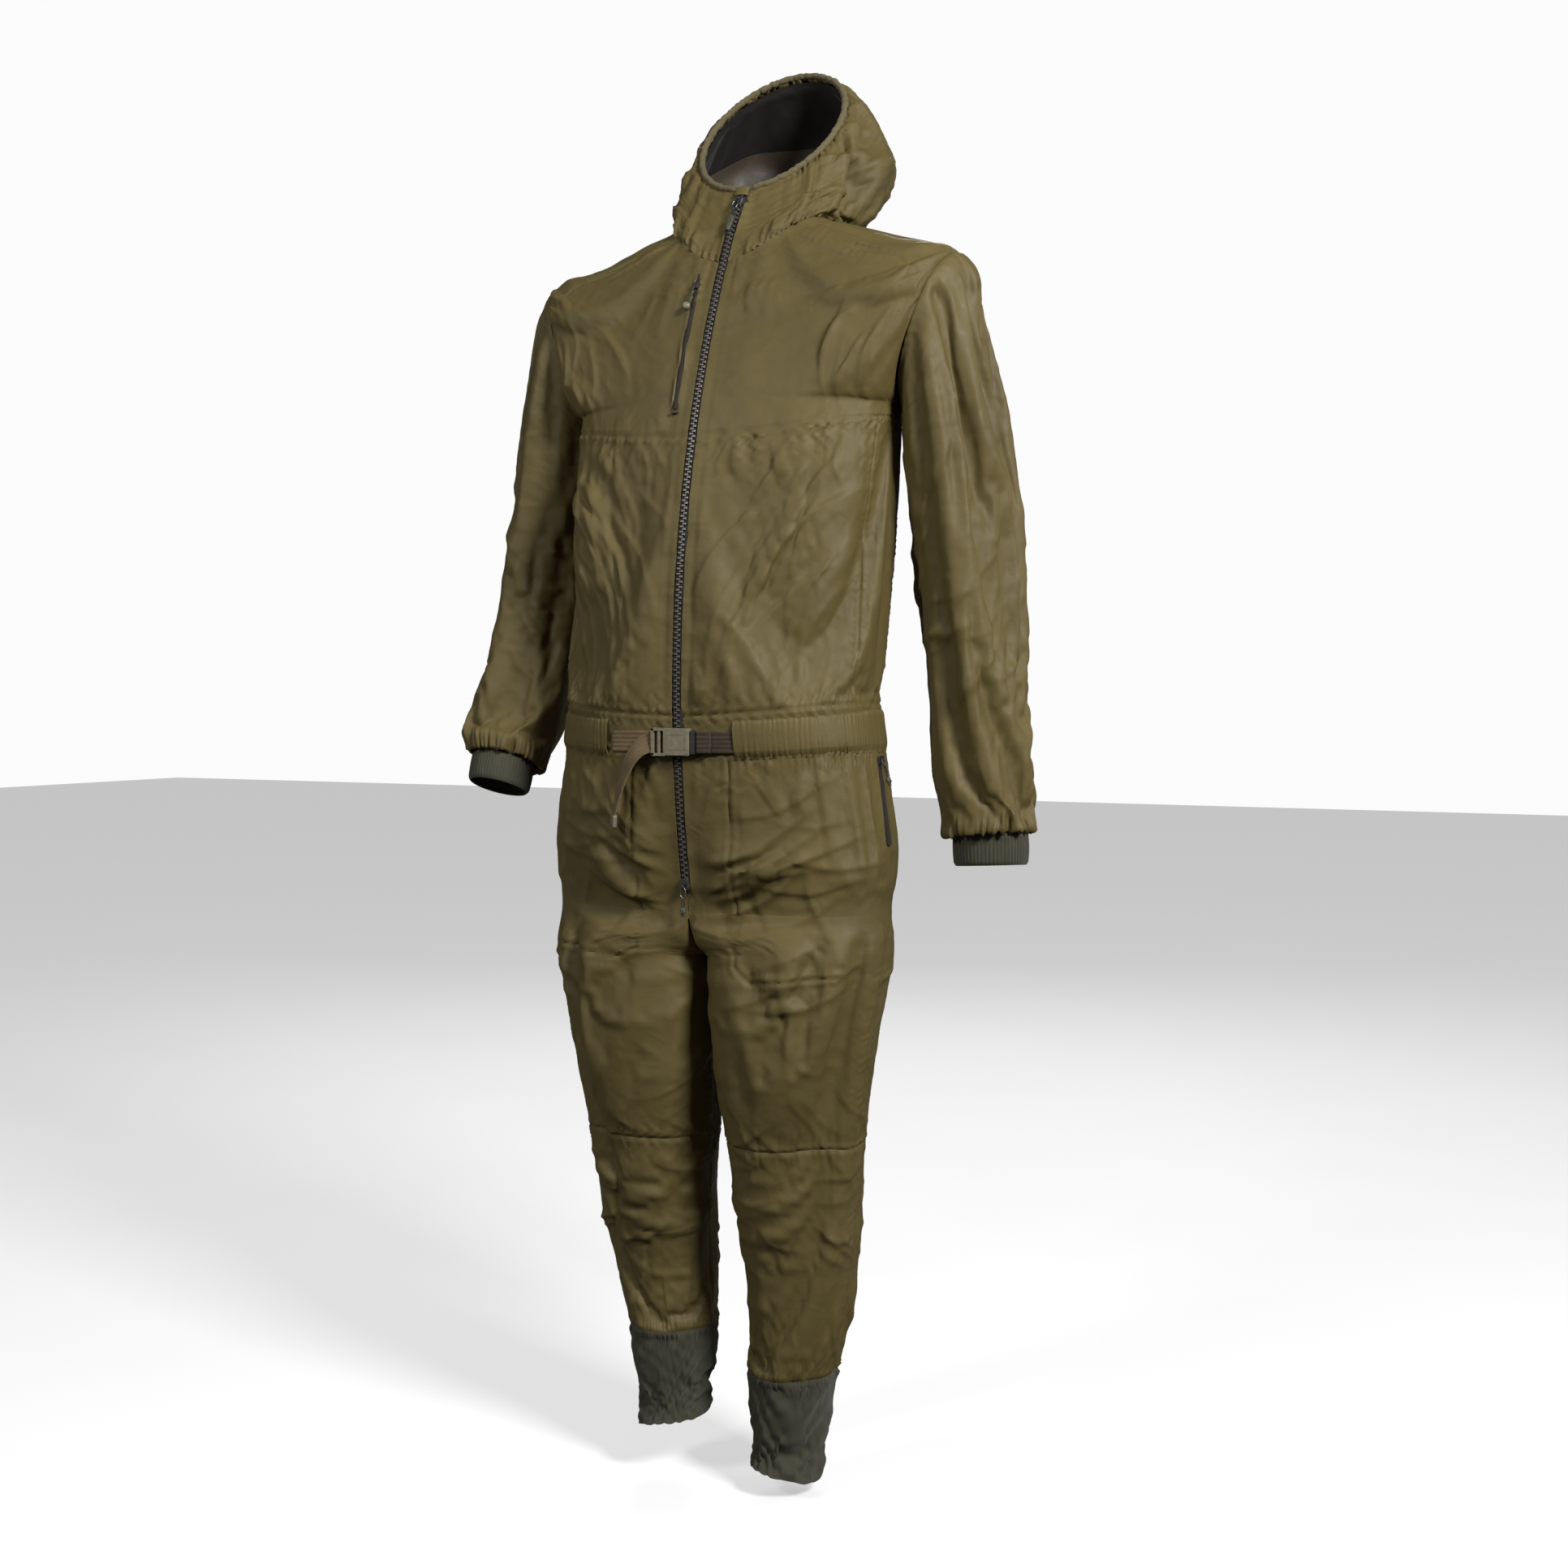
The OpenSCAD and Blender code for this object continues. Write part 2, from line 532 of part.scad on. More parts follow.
module around_belt(x0, x1) let (a0 = asin(x0 / belt_radius), a1 = asin(x1 / belt_radius))
    translate([0, belt_axis_y, belt_z]) rotate([0, 0, -90 + a0])
        rotate_extrude(angle = a1 - a0, $fn = 720) children();
module webbing(x0, x1, out, t, w) around_belt(x0, x1)
    translate([belt_radius + out, -w / 2]) square([t, w]);

module belt_right() color(tan) 
    webbing(belt_end_right, buckle_x - buckle_l / 2 + 7, belt_out_right, belt_t, belt_w);
module belt_left() color(dark_olive)
    webbing(buckle_x + buckle_l / 2 + 7, belt_end_left, belt_out, belt_t, belt_w);
module belt_fold() color(dark_olive)
    webbing(buckle_x + buckle_l / 2 + 8, buckle_x + buckle_l / 2 + 26, belt_out + belt_t, 3.2, belt_w + 1);

// The socket: a rounded case, open on its left for the tongue, with a slot and a bar for the webbing
module buckle_socket() color(olive) translate([buckle_x, zip_y(belt_z) - buckle_out, belt_z])
    rotate([90, 0, 0]) difference() {
        linear_extrude(buckle_t) hull() for (x = [-1, 1], y = [-1, 1])
            translate([x * (buckle_l / 2 - 4), y * (buckle_h / 2 - 4)]) circle(r = 4, $fn = 32);
        translate([buckle_l / 2 - tongue_l - 4, -10, 2]) cube([tongue_l + 6, 20, 3.4]);
        translate([-buckle_l / 2 + 3, -belt_w / 2 - 0.5, -1]) cube([slot_w, belt_w + 1, buckle_t + 2]);
        translate([-buckle_l / 2 + 11, -belt_w / 2 - 0.5, -1]) cube([slot_w, belt_w + 1, buckle_t + 2]);
    }
// The tongue that clicks into the socket, and the cross-bar that holds its webbing
module buckle_insert() color(black) translate([buckle_x, zip_y(belt_z) - buckle_out, belt_z])
    rotate([90, 0, 0]) {
        translate([buckle_l / 2 - tongue_l, -9, 2.5]) cube([tongue_l + 1, 18, 2.4]);
        translate([buckle_l / 2 + 0.6, -belt_w / 2 - 1.5, 0.4]) cube([6.2, belt_w + 3, 5]);
    }
// A flat strap along the route, its width across the direction of the route
function strap_ring(points, i, w, t) = let (last = len(points) - 1, turn = tail_twist * pow(i / last, 0.7),
        d = unit(points[min(i + 1, last)] - points[max(i - 1, 0)]), n = [-sin(turn), -cos(turn), 0],
        a = unit(cross(d, n)) * w / 2, b = unit(cross(a, d)) * t / 2)
    [points[i] - a - b, points[i] + a - b, points[i] + a + b, points[i] - a + b];
module strap(points, w, t) {
    last = len(points) - 1;
    pts = [for (i = [0 : last]) for (p = strap_ring(points, i, w, t)) p];
    walls = [for (i = [0 : last - 1], k = [0 : 3])
        let (p = i * 4 + k, q = i * 4 + (k + 1) % 4)
        for (f = [[p, q, q + 4], [p, q + 4, p + 4]]) f];
    polyhedron(points = pts, faces = concat(walls, [[2, 1, 0], [3, 2, 0]],
        [[last * 4, last * 4 + 1, last * 4 + 2], [last * 4, last * 4 + 2, last * 4 + 3]]), convexity = 4);
}
module belt_tail() color(tan) strap(tail_route, tail_w, belt_t);
module tail_tip() color(olive) translate(tail_route[8] + [-0.5, 0, -0.5]) rotate([0, 9, 0])
    rotate([0, 0, -tail_twist]) translate([-tail_w / 2 - 1, -2, -16]) cube([tail_w + 2, 4, 15.5]);

chest_left();
chest_right();
front_left();
front_right();
shoulder_left();
shoulder_right();
back_yoke();
back_panel();
side_left();
side_right();
waistband();
lower_front_left();
lower_front_right();
seat();
hip_left();
hip_right();
thigh_left();
thigh_right();
knee_left();
knee_right();
shin_left();
shin_right();
ankle_left();
ankle_right();
sleeve_cap_left();
sleeve_cap_right();
sleeve_left();
sleeve_right();
cuff_left();
cuff_right();
hood_left();
hood_right();
hood_centre();
hood_binding();
hood_lining();
inner_collar();
hanger_loop();
zip_tapes();
zip_teeth();
zip_garage();
upper_slider();
upper_pull();
lower_slider();
lower_pull();
chest_zip();
chest_pocket();
chest_slider();
hip_zips();
hip_pockets();
hip_slider_left();
hip_pull_left();
hip_slider_right();
hip_pull_right();
belt_right();
belt_left();
belt_fold();
buckle_socket();
buckle_insert();
belt_tail();
tail_tip();
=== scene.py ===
"""Looks of the hooded coverall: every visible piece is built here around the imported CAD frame.

Shapes are worked out in millimetres in the row frame (+X wearer's left, -Y front, +Z up, origin at
the hanger loop) and turned into metres when a mesh is made.
"""
import math

import bmesh
import bpy
import numpy as np
from mathutils import Matrix, Vector


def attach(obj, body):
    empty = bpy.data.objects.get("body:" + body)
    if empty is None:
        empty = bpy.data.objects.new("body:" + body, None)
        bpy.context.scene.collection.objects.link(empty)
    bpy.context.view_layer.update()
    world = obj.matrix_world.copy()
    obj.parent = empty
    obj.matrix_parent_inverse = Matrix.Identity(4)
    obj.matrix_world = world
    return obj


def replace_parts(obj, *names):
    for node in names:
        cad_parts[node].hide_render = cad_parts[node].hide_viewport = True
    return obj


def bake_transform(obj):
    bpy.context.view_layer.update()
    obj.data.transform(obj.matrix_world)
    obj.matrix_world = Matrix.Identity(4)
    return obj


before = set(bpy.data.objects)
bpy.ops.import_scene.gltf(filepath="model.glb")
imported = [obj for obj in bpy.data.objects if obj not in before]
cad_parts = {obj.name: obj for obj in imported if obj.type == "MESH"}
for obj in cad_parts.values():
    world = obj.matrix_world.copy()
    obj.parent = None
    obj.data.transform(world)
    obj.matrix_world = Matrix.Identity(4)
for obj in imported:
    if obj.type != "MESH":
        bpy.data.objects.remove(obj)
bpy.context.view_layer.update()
MM = 0.001

# --- Camera ----------------------------------------------------------------------------------

CAMERA_AZIMUTH = 28.0
CAMERA_DISTANCE = 2700.0
CAMERA_AXIS = (0.0, -60.0, -560.0)
CAMERA_TILT = -2.79
CAMERA_YAW = -0.75
CAMERA_LENS = 49.8


def add_camera():
    """A level camera at the chest's height, on the wearer's left of the front."""
    az = math.radians(CAMERA_AZIMUTH)
    place = Vector(CAMERA_AXIS) + CAMERA_DISTANCE * Vector((math.sin(az), -math.cos(az), 0))
    data = bpy.data.cameras.new("camera")
    data.lens = CAMERA_LENS
    data.clip_end = 50
    cam = bpy.data.objects.new("camera", data)
    bpy.context.scene.collection.objects.link(cam)
    cam.location = place * MM
    cam.rotation_euler = (math.radians(90 + CAMERA_TILT), 0, az + math.radians(CAMERA_YAW))
    bpy.context.scene.camera = cam


add_camera()

# --- Numbers ---------------------------------------------------------------------------------


def smoothstep(x):
    x = np.clip(x, 0, 1)
    return x * x * (3 - 2 * x)


def rows_at(rows, v):
    """A table of rows read at fractional row numbers, along monotone cubic curves."""
    rows = np.asarray(rows, float)
    v = np.clip(np.asarray(v, float), 0, len(rows) - 1)
    step = np.diff(rows, axis=0)
    before, after = step[:-1], step[1:]
    same = before * after > 0
    inner = np.where(same, 2 * before * after / np.where(same, before + after, 1), 0)
    slope = np.vstack([step[:1], inner, step[-1:]])
    i = np.minimum(v.astype(int), len(rows) - 2)
    k = (v - i)[..., None]
    h = k * k * (3 - 2 * k)
    return (rows[i] * (1 - h) + rows[i + 1] * h + slope[i] * (k**3 - 2 * k**2 + k)
            + slope[i + 1] * (k**3 - k**2))


def wave(s, seed):
    """A smooth random curve of s, about -1 to 1, with one swing per unit."""
    rng = np.random.default_rng(seed)
    total = np.zeros_like(np.asarray(s, float))
    for k in range(9):
        rate = 0.45 + 1.3 * rng.random()
        total += np.sin(2 * math.pi * (rate * s + rng.random()))
    return total / 3.0


def unit(v):
    return v / np.maximum(np.linalg.norm(v, axis=-1, keepdims=True), 1e-9)


def joined(t, top, leave, low, arrive):
    """A smooth path from top to low for t from 0 to 1, with the two given end tangents."""
    return ((2 * t**3 - 3 * t**2 + 1) * top + (t**3 - 2 * t**2 + t) * leave
            + (3 * t**2 - 2 * t**3) * low + (t**3 - t**2) * arrive)


# --- Worn shape: the same construction as the CAD model, on smooth curves ----------------------

ZIP_R, ZIP_Y, ZIP_Z = 1224.0, 968.0, -578.0
ROUND = 0.85
NECK, TIP, UNDERARM, CHEST_SEAM, WAIST_TOP, WAIST_BASE, SEAT = 0, 2, 4, 5, 7, 8, 10
# [front z, half-width, side y, side z, back y, back z]
TRUNK = [
    [-62, 98, -62, -4, 4, -22],
    [-95, 188, -62, -33, 14, -45],
    [-125, 274, -62, -63, 20, -88],
    [-175, 240, -66, -150, 16, -160],
    [-235, 208, -78, -237, -4, -238],
    [-276, 207, -88, -252, -8, -262],
    [-410, 206, -122, -400, -22, -410],
    [-604, 198, -141, -590, -33, -590],
    [-648, 203, -143, -638, -33, -638],
    [-760, 224, -148, -760, -31, -760],
    [-835, 218, -150, -835, -40, -835]]
ARMHOLE_C = np.array([241.0, -70, -150])
ARMHOLE_UP = np.array([33.0, 8, 87])
ARMHOLE_D = 66.0


def zip_y(z):
    """The zip lies on one long arc."""
    return ZIP_Y - np.sqrt(ZIP_R**2 - (z - ZIP_Z) ** 2)


def armhole(k, face):
    """The edge that a sleeve is sewn to; k is 0 at the shoulder tip and 1 under the arm."""
    k = np.asarray(k, float)[..., None]
    return (ARMHOLE_C + ARMHOLE_UP * np.cos(np.pi * k)
            + np.array([0, 1, 0]) * face * ARMHOLE_D * np.sin(np.pi * k))


def trunk(w, v, face, side):
    """w is 0 at the centre and 1 at the side; face -1 front or 1 back; side 1 is the wearer's left."""
    w, v = np.broadcast_arrays(np.asarray(w, float), np.asarray(v, float))
    r = rows_at(TRUNK, v)
    edge = r[..., 1:4]
    hole = (v > TIP) & (v < UNDERARM)
    edge = np.where(hole[..., None], armhole((v - TIP) / (UNDERARM - TIP), face), edge)
    if face < 0:
        mid_y, mid_z = zip_y(r[..., 0]), r[..., 0]
    else:
        mid_y, mid_z = r[..., 4], r[..., 5]
    s, c = np.sin(np.pi / 2 * w), np.cos(np.pi / 2 * w)
    ks, kc, kz = s**ROUND, np.maximum(c, 0) ** ROUND, s**1.4
    return np.stack([side * edge[..., 0] * ks, edge[..., 1] + (mid_y - edge[..., 1]) * kc,
                     mid_z + (edge[..., 2] - mid_z) * kz], -1)


# [centre x, centre y, z, half-width, half-depth]
LEG = [
    [112, -148, -890, 106, 104],
    [108, -156, -965, 95, 99],
    [102, -148, -1050, 84, 92],
    [98, -138, -1112, 78, 84],
    [97, -133, -1185, 73, 79],
    [94, -118, -1290, 64, 71],
    [84, -120, -1398, 52, 60],
    [79, -125, -1478, 45, 53],
    [79, -128, -1528, 44, 54]]
HEM_LIFT = 38.0
KNEE, KNEE_END, ANKLE, HEM = 3, 4, 6, 8
CROTCH_DROP = 58.0


def rise(a):
    """The seam that joins a leg to the trunk, at angle a round the leg: 0 front, 90 outside."""
    out = a <= 180
    w = np.where(a <= 90, a / 90, np.where(out, 2 - a / 90, 0))
    front = trunk(w, np.full_like(w, float(SEAT)), -1, 1)
    back = trunk(w, np.full_like(w, float(SEAT)), 1, 1)
    outer = np.where((a <= 90)[..., None], front, back)
    f = trunk(np.array(0.0), np.array(float(SEAT)), -1, 1)
    b = trunk(np.array(0.0), np.array(float(SEAT)), 1, 1)
    r = np.radians(a)
    inner = np.stack([np.full_like(w, 1.0), b[1] + (f[1] - b[1]) * (1 + np.cos(r)) / 2,
                      f[2] - CROTCH_DROP * np.abs(np.sin(r)) ** 0.8], -1)
    return np.where(out[..., None], outer, inner)


def leg_ring(a, v, side):
    """One ring of the leg tube; the inner thighs fill out until they touch."""
    r = rows_at(LEG, v)
    t = np.radians(a)
    lift = HEM_LIFT * smoothstep((v - KNEE_END) / 2) if side < 0 else 0.0
    full = np.interp(v, [0, 1, 2, KNEE, KNEE_END], [5, 9, 10, 4, 0])
    x = r[..., 0] + r[..., 3] * np.sin(t) - full * np.maximum(0, -np.sin(t)) ** 1.3
    return np.stack([x, r[..., 1] - r[..., 4] * np.cos(t), r[..., 2] + lift + 0 * t], -1)


def leg(a, v, side):
    """a is the angle round the leg in degrees, v the row; above row 0 it runs up into the trunk."""
    a, v = np.broadcast_arrays(np.mod(np.asarray(a, float), 360), np.asarray(v, float))
    ring = leg_ring(a, np.maximum(v, 0), side)
    top, low = rise(a), leg_ring(a, 0 * v, side)
    length = np.linalg.norm(low - top, axis=-1, keepdims=True)
    leave = length * np.array([0, 0, -1.0])
    arrive = length * unit(leg_ring(a, 0 * v + 0.02, side) - low)
    upper = joined(np.clip(v + 1, 0, 1)[..., None], top, leave, low, arrive)
    return np.where((v < 0)[..., None], upper, ring) * np.array([side, 1, 1])


# [centre x, y, z, half-width, its lean, half-depth, its pitch]
LEFT_ARM = [
    [241, -70, -150, 94, 69.2, 66, 0],
    [269, -70, -226.5, 73.7, 38, 70, 0],
    [284, -64, -335, 71, 12, 68, 0],
    [300, -60, -520, 68, 5, 62, 2],
    [311, -66, -670, 64, 4, 55, 3],
    [317, -69, -728, 56, 3, 48, 3],
    [318, -70, -744, 47, 3, 40, 3],
    [319, -70, -774, 46, 3, 39, 3]]
RIGHT_ARM = [
    [241, -70, -150, 94, 69.2, 66, 0],
    [269, -70, -226.5, 73.7, 38, 70, 0],
    [284, -66, -330, 70, 12, 68, 4],
    [294, -85, -480, 68, 5, 62, 14],
    [305, -133, -600, 62, 4, 54, 23],
    [309, -155, -650, 54, 4, 47, 24],
    [309, -161, -664, 46, 4, 39, 24],
    [309, -173, -691, 45, 4, 38, 24]]
CUFF, CUFF_END = 6, 7


def arm_ring(a, v, side):
    """One ring of the sleeve tube, before it is mirrored."""
    r = rows_at(LEFT_ARM if side > 0 else RIGHT_ARM, v)
    t, lean, pitch = np.radians(a), np.radians(r[..., 4]), np.radians(r[..., 6])
    zero = np.zeros_like(t)
    out = r[..., 3:4] * np.stack([np.cos(lean), zero, np.sin(lean)], -1)
    fore = r[..., 5:6] * np.stack([zero, -np.cos(pitch), np.sin(pitch)], -1)
    return r[..., :3] + out * np.cos(t)[..., None] + fore * np.sin(t)[..., None]


# directions out and up in which the sleeve leaves the armhole, at the tip and under the arm
SHOULDER_SLOPE = (0.94, -0.33)
UNDERARM_SLOPE = (0.45, -0.89)


def arm(a, v, side):
    """a is the angle round the arm in degrees: 0 outside, 90 front; v the row, 0 the armhole.
    The sleeve leaves the armhole along the shoulder's slope and turns down by row 1."""
    a, v = np.broadcast_arrays(np.asarray(a, float), np.asarray(v, float))
    ring = arm_ring(a, v, side)
    top, low = arm_ring(a, 0 * v, side), arm_ring(a, 0 * v + 1, side)
    length = np.linalg.norm(low - top, axis=-1, keepdims=True)
    up = ((1 + np.cos(np.radians(a))) / 2)[..., None]
    slope = up * np.array(SHOULDER_SLOPE) + (1 - up) * np.array(UNDERARM_SLOPE)
    leave = length * unit(np.stack([slope[..., 0], 0 * a, slope[..., 1]], -1))
    arrive = length * unit(arm_ring(a, 0 * v + 1.05, side) - low)
    upper = joined(np.clip(v, 0, 1)[..., None], top, leave, low, arrive)
    return np.where((v < 1)[..., None], upper, ring) * np.array([side, 1, 1])


RIM_HALF_W = 92.0
RIM_C = np.array([0.0, -12, 121])
RIM_FALL = np.array([0.0, -77, -86])
HOOD_SWELL = 112.0


def rim(a):
    """The edge of the face opening."""
    t = np.radians(np.asarray(a, float))[..., None]
    return RIM_C + np.array([RIM_HALF_W, 0, 0]) * np.sin(t) + RIM_FALL * np.cos(t)


def neck_ring(a):
    """The seam between the hood and the trunk."""
    a = np.mod(np.asarray(a, float), 360)
    side = np.where(a <= 180, 1.0, -1.0)
    b = np.where(a <= 180, a, 360 - a)
    zero = np.zeros_like(b)
    front = trunk(np.minimum(b / 90, 1), zero, -1, 1)
    back = trunk(np.clip(2 - b / 90, 0, 1), zero, 1, 1)
    p = np.where((b <= 90)[..., None], front, back)
    return p * np.stack([side, np.ones_like(b), np.ones_like(b)], -1)


def hood(a, v):
    """a is the angle round the hood: 0 chin, 90 wearer's left, 180 crown; v 0 rim, 1 neck seam."""
    a, v = np.broadcast_arrays(np.asarray(a, float), np.asarray(v, float))
    t = np.radians(a)
    back = (1 - np.cos(t)) / 2
    swell = 4 + HOOD_SWELL * back**2.1
    way = unit(np.stack([np.sin(t), -np.cos(t), 1.15 * back * (1 - 1.5 * v)], -1))
    bulge = (swell * np.sin(np.pi * np.clip(v, 0, 1) ** 1.15))[..., None] * way
    return rim(a) * (1 - v)[..., None] + neck_ring(a) * v[..., None] + bulge


# --- Cloth grids ---------------------------------------------------------------------------------


class Grid:
    """A piece of cloth as a grid of points; closed grids join their last column to the first."""

    def __init__(self, points, closed=False):
        self.p = np.array(points, float)
        self.closed = closed
        self.base = self.p.copy()

    def normals(self):
        if self.closed:
            du = np.roll(self.p, -1, 1) - np.roll(self.p, 1, 1)
        else:
            du = np.gradient(self.p, axis=1)
        return unit(np.cross(du, np.gradient(self.p, axis=0)))

    def outward(self, core):
        """Normals turned away from core, a point or one point for each row."""
        n = self.normals()
        if np.sum(n * (self.p - core)) < 0:
            n = -n
        return n

    def faces(self):
        rows, cols = self.p.shape[:2]
        last = cols if self.closed else cols - 1
        j, i = np.meshgrid(np.arange(rows - 1), np.arange(last), indexing="ij")
        a = j * cols + i
        b = j * cols + (i + 1) % cols
        return np.stack([a, b, b + cols, a + cols], -1).reshape(-1, 4)

    def resample(self, rows, cols):
        """The same cloth at finer rows and columns, along cubic curves."""
        new = cubic(self.p, rows, 0, False)
        return Grid(cubic(new, cols, 1, self.closed), self.closed)


def cubic(p, at, axis, closed):
    """Points read at fractional places along one axis of a grid."""
    p = np.moveaxis(p, axis, 0)
    n = len(p)
    i = np.floor(at).astype(int)
    if closed:
        k = at - i
        q = [p[(i + d) % n] for d in (-1, 0, 1, 2)]
    else:
        i = np.clip(i, 0, n - 2)
        k = at - i
        ends = [np.clip(i + d, 0, n - 1) for d in (-1, 0, 1, 2)]
        q = [p[e] for e in ends]
        low = (i == 0)[:, None, None]
        high = (i == n - 2)[:, None, None]
        q[0] = np.where(low, 2 * p[0] - p[1], q[0])
        q[3] = np.where(high, 2 * p[n - 1] - p[n - 2], q[3])
    k = k[:, None, None]
    out = 0.5 * (2 * q[1] + (q[2] - q[0]) * k + (2 * q[0] - 5 * q[1] + 4 * q[2] - q[3]) * k**2
                 + (3 * q[1] - q[0] - 3 * q[2] + q[3]) * k**3)
    return np.moveaxis(out, 0, axis)


def new_mesh(name, points, faces, uv=None, smooth=True):
    """A mesh object from points in millimetres."""
    mesh = bpy.data.meshes.new(name)
    mesh.from_pydata((np.asarray(points).reshape(-1, 3) * MM).tolist(), [], [list(f) for f in faces])
    if uv is not None:
        layer = mesh.uv_layers.new(name="UVMap")
        loops = np.empty(len(mesh.loops), int)
        mesh.loops.foreach_get("vertex_index", loops)
        layer.data.foreach_set("uv", np.asarray(uv)[loops].astype(np.float32).ravel())
    mesh.polygons.foreach_set("use_smooth", [smooth] * len(mesh.polygons))
    mesh.update()
    obj = bpy.data.objects.new(name, mesh)
    bpy.context.scene.collection.objects.link(obj)
    return obj


# --- Folds put in before the cloth settles ------------------------------------------------------

CELL = 11.0
FINE = 4


def bumps(p, n, across, along, lines):
    """Push points out along soft ridges; each line is (a0, b0, a1, b1, width, height) in the
    two given coordinates of each point."""
    for a0, b0, a1, b1, width, height in lines:
        da, db = a1 - a0, b1 - b0
        length = math.hypot(da, db)
        t = ((across - a0) * da + (along - b0) * db) / length**2
        side = ((across - a0) * db - (along - b0) * da) / length
        bend = 0.12 * length * np.sin(np.pi * np.clip(t, 0, 1)) * (1 if height > 0 else -1)
        end = smoothstep((t + 0.12) / 0.3) * smoothstep((1.12 - t) / 0.3)
        ridge = np.exp(-((side - bend) / width) ** 2) - 0.45 * np.exp(-((side - bend) / (2.2 * width)) ** 2)
        p += n * (height * end * ridge)[..., None]
    return p


def scatter(rng, n, a_range, b_range, length, slope, width, height):
    """Random ridges: starts in a box, with a given length and direction."""
    out = []
    for _ in range(n):
        a = rng.uniform(*a_range)
        b = rng.uniform(*b_range)
        size = length * rng.uniform(0.6, 1.3)
        turn = math.radians(slope + rng.normal(0, 12))
        out.append((a, b, a + size * math.cos(turn), b + size * math.sin(turn),
                    width * rng.uniform(0.7, 1.3), height * rng.uniform(0.5, 1.2)))
    return out


# --- Settling the cloth --------------------------------------------------------------------------

SETTLE_FRAMES = 22
sims = []


def prepare(name, pieces, pins, growth, merge=False):
    """Queue one cloth object made of grids for the settling run; pins and growth are 0 to 1."""
    points, faces, count = [], [], 0
    for g, held in zip(pieces, pins):
        g.pin = held
        faces.append(g.faces() + count)
        points.append(g.p.reshape(-1, 3))
        count += points[-1].shape[0]
    points = np.concatenate(points)
    faces = np.concatenate(faces)
    pin = np.concatenate([x.ravel() for x in pins])
    grow = np.concatenate([x.ravel() for x in growth])
    if merge:
        keys, first, back = np.unique(np.round(points / 0.05).astype(int), axis=0, return_index=True,
                                      return_inverse=True)
        back = back.ravel()
    else:
        first = np.arange(len(points))
        back = first
    faces = back[faces]
    obj = new_mesh(name, points[first], faces)
    for label, values in (("pin", pin[first]), ("grow", grow[first])):
        group = obj.vertex_groups.new(name=label)
        for i, value in enumerate(values):
            group.add([i], float(value), "REPLACE")
    sims.append((obj, pieces, back))


NYLON = {"quality": 5, "time_scale": 1.0, "mass": 0.25, "tension_stiffness": 20, "compression_stiffness": 20,
         "shear_stiffness": 6, "bending_stiffness": 0.35, "tension_damping": 8, "compression_damping": 8,
         "shear_damping": 8, "bending_damping": 0.6, "air_damping": 2, "pin_stiffness": 1.0,
         "vertex_group_mass": "pin", "vertex_group_shrink": "grow", "shrink_min": 0.0}


def settle(stretch):
    """Let every queued cloth grow a little against its pinned seams, then read the grids back."""
    scene = bpy.context.scene
    for obj, _, _ in sims:
        mod = obj.modifiers.new("cloth", "CLOTH")
        for key, value in NYLON.items():
            setattr(mod.settings, key, value)
        mod.settings.shrink_max = -stretch
        mod.collision_settings.use_collision = False
        mod.collision_settings.use_self_collision = False
        mod.point_cache.frame_start = 1
        mod.point_cache.frame_end = SETTLE_FRAMES
    scene.frame_start = 1
    scene.frame_end = SETTLE_FRAMES
    for f in range(1, SETTLE_FRAMES + 1):
        scene.frame_set(f)
    graph = bpy.context.evaluated_depsgraph_get()
    results = []
    for obj, _, _ in sims:
        done = obj.evaluated_get(graph)
        co = np.empty(len(done.data.vertices) * 3)
        done.data.vertices.foreach_get("co", co)
        results.append(co.reshape(-1, 3) / MM)
    for (obj, pieces, back), co in zip(sims, results):
        if co is not None:
            flat = co[back]
            at = 0
            for g in pieces:
                size = g.p.shape[0] * g.p.shape[1]
                g.p = flat[at:at + size].reshape(g.p.shape)
                at += size
        bpy.data.objects.remove(obj)
    scene.frame_set(1)


def blur(field, rows, cols, closed):
    """Box-blur a grid field three times, about the given numbers of cells."""
    for _ in range(3):
        for axis, size in ((0, rows), (1, cols)):
            size = max(1, int(size))
            mode = "wrap" if closed and axis == 1 else "edge"
            pad = [(0, 0)] * field.ndim
            pad[axis] = (size, size)
            big = np.pad(field, pad, mode=mode)
            total = np.cumsum(big, axis=axis)
            total = np.insert(total, 0, 0, axis=axis)
            n = field.shape[axis]
            hi = np.take(total, np.arange(n) + 2 * size + 1, axis=axis)
            lo = np.take(total, np.arange(n), axis=axis)
            field = (hi - lo) / (2 * size + 1)
    return field


def keep_shape(g, share=0.8, size=5):
    """Take back most of the slow drift from the designed shape; folds and held edges stay."""
    drift = g.p - g.base
    held = np.clip(3.5 * blur((g.pin > 0.99).astype(float), 1, 1, g.closed), 0, 1)
    g.p = g.p - (share * (1 - held))[..., None] * blur(drift, size, size, g.closed)


# --- Seams ---------------------------------------------------------------------------------------


def near_line(across, along, line):
    """Distance from a broken line, and the run along it, in the two given coordinates."""
    best = np.full(across.shape, 1e9)
    run = np.zeros(across.shape)
    start = 0.0
    for (a0, b0), (a1, b1) in zip(line[:-1], line[1:]):
        da, db = a1 - a0, b1 - b0
        length = max(math.hypot(da, db), 1e-6)
        t = np.clip(((across - a0) * da + (along - b0) * db) / length**2, 0, 1)
        d = np.hypot(across - a0 - t * da, along - b0 - t * db)
        nearer = d < best
        best = np.where(nearer, d, best)
        run = np.where(nearer, start + t * length, run)
        start += length
    return best, run


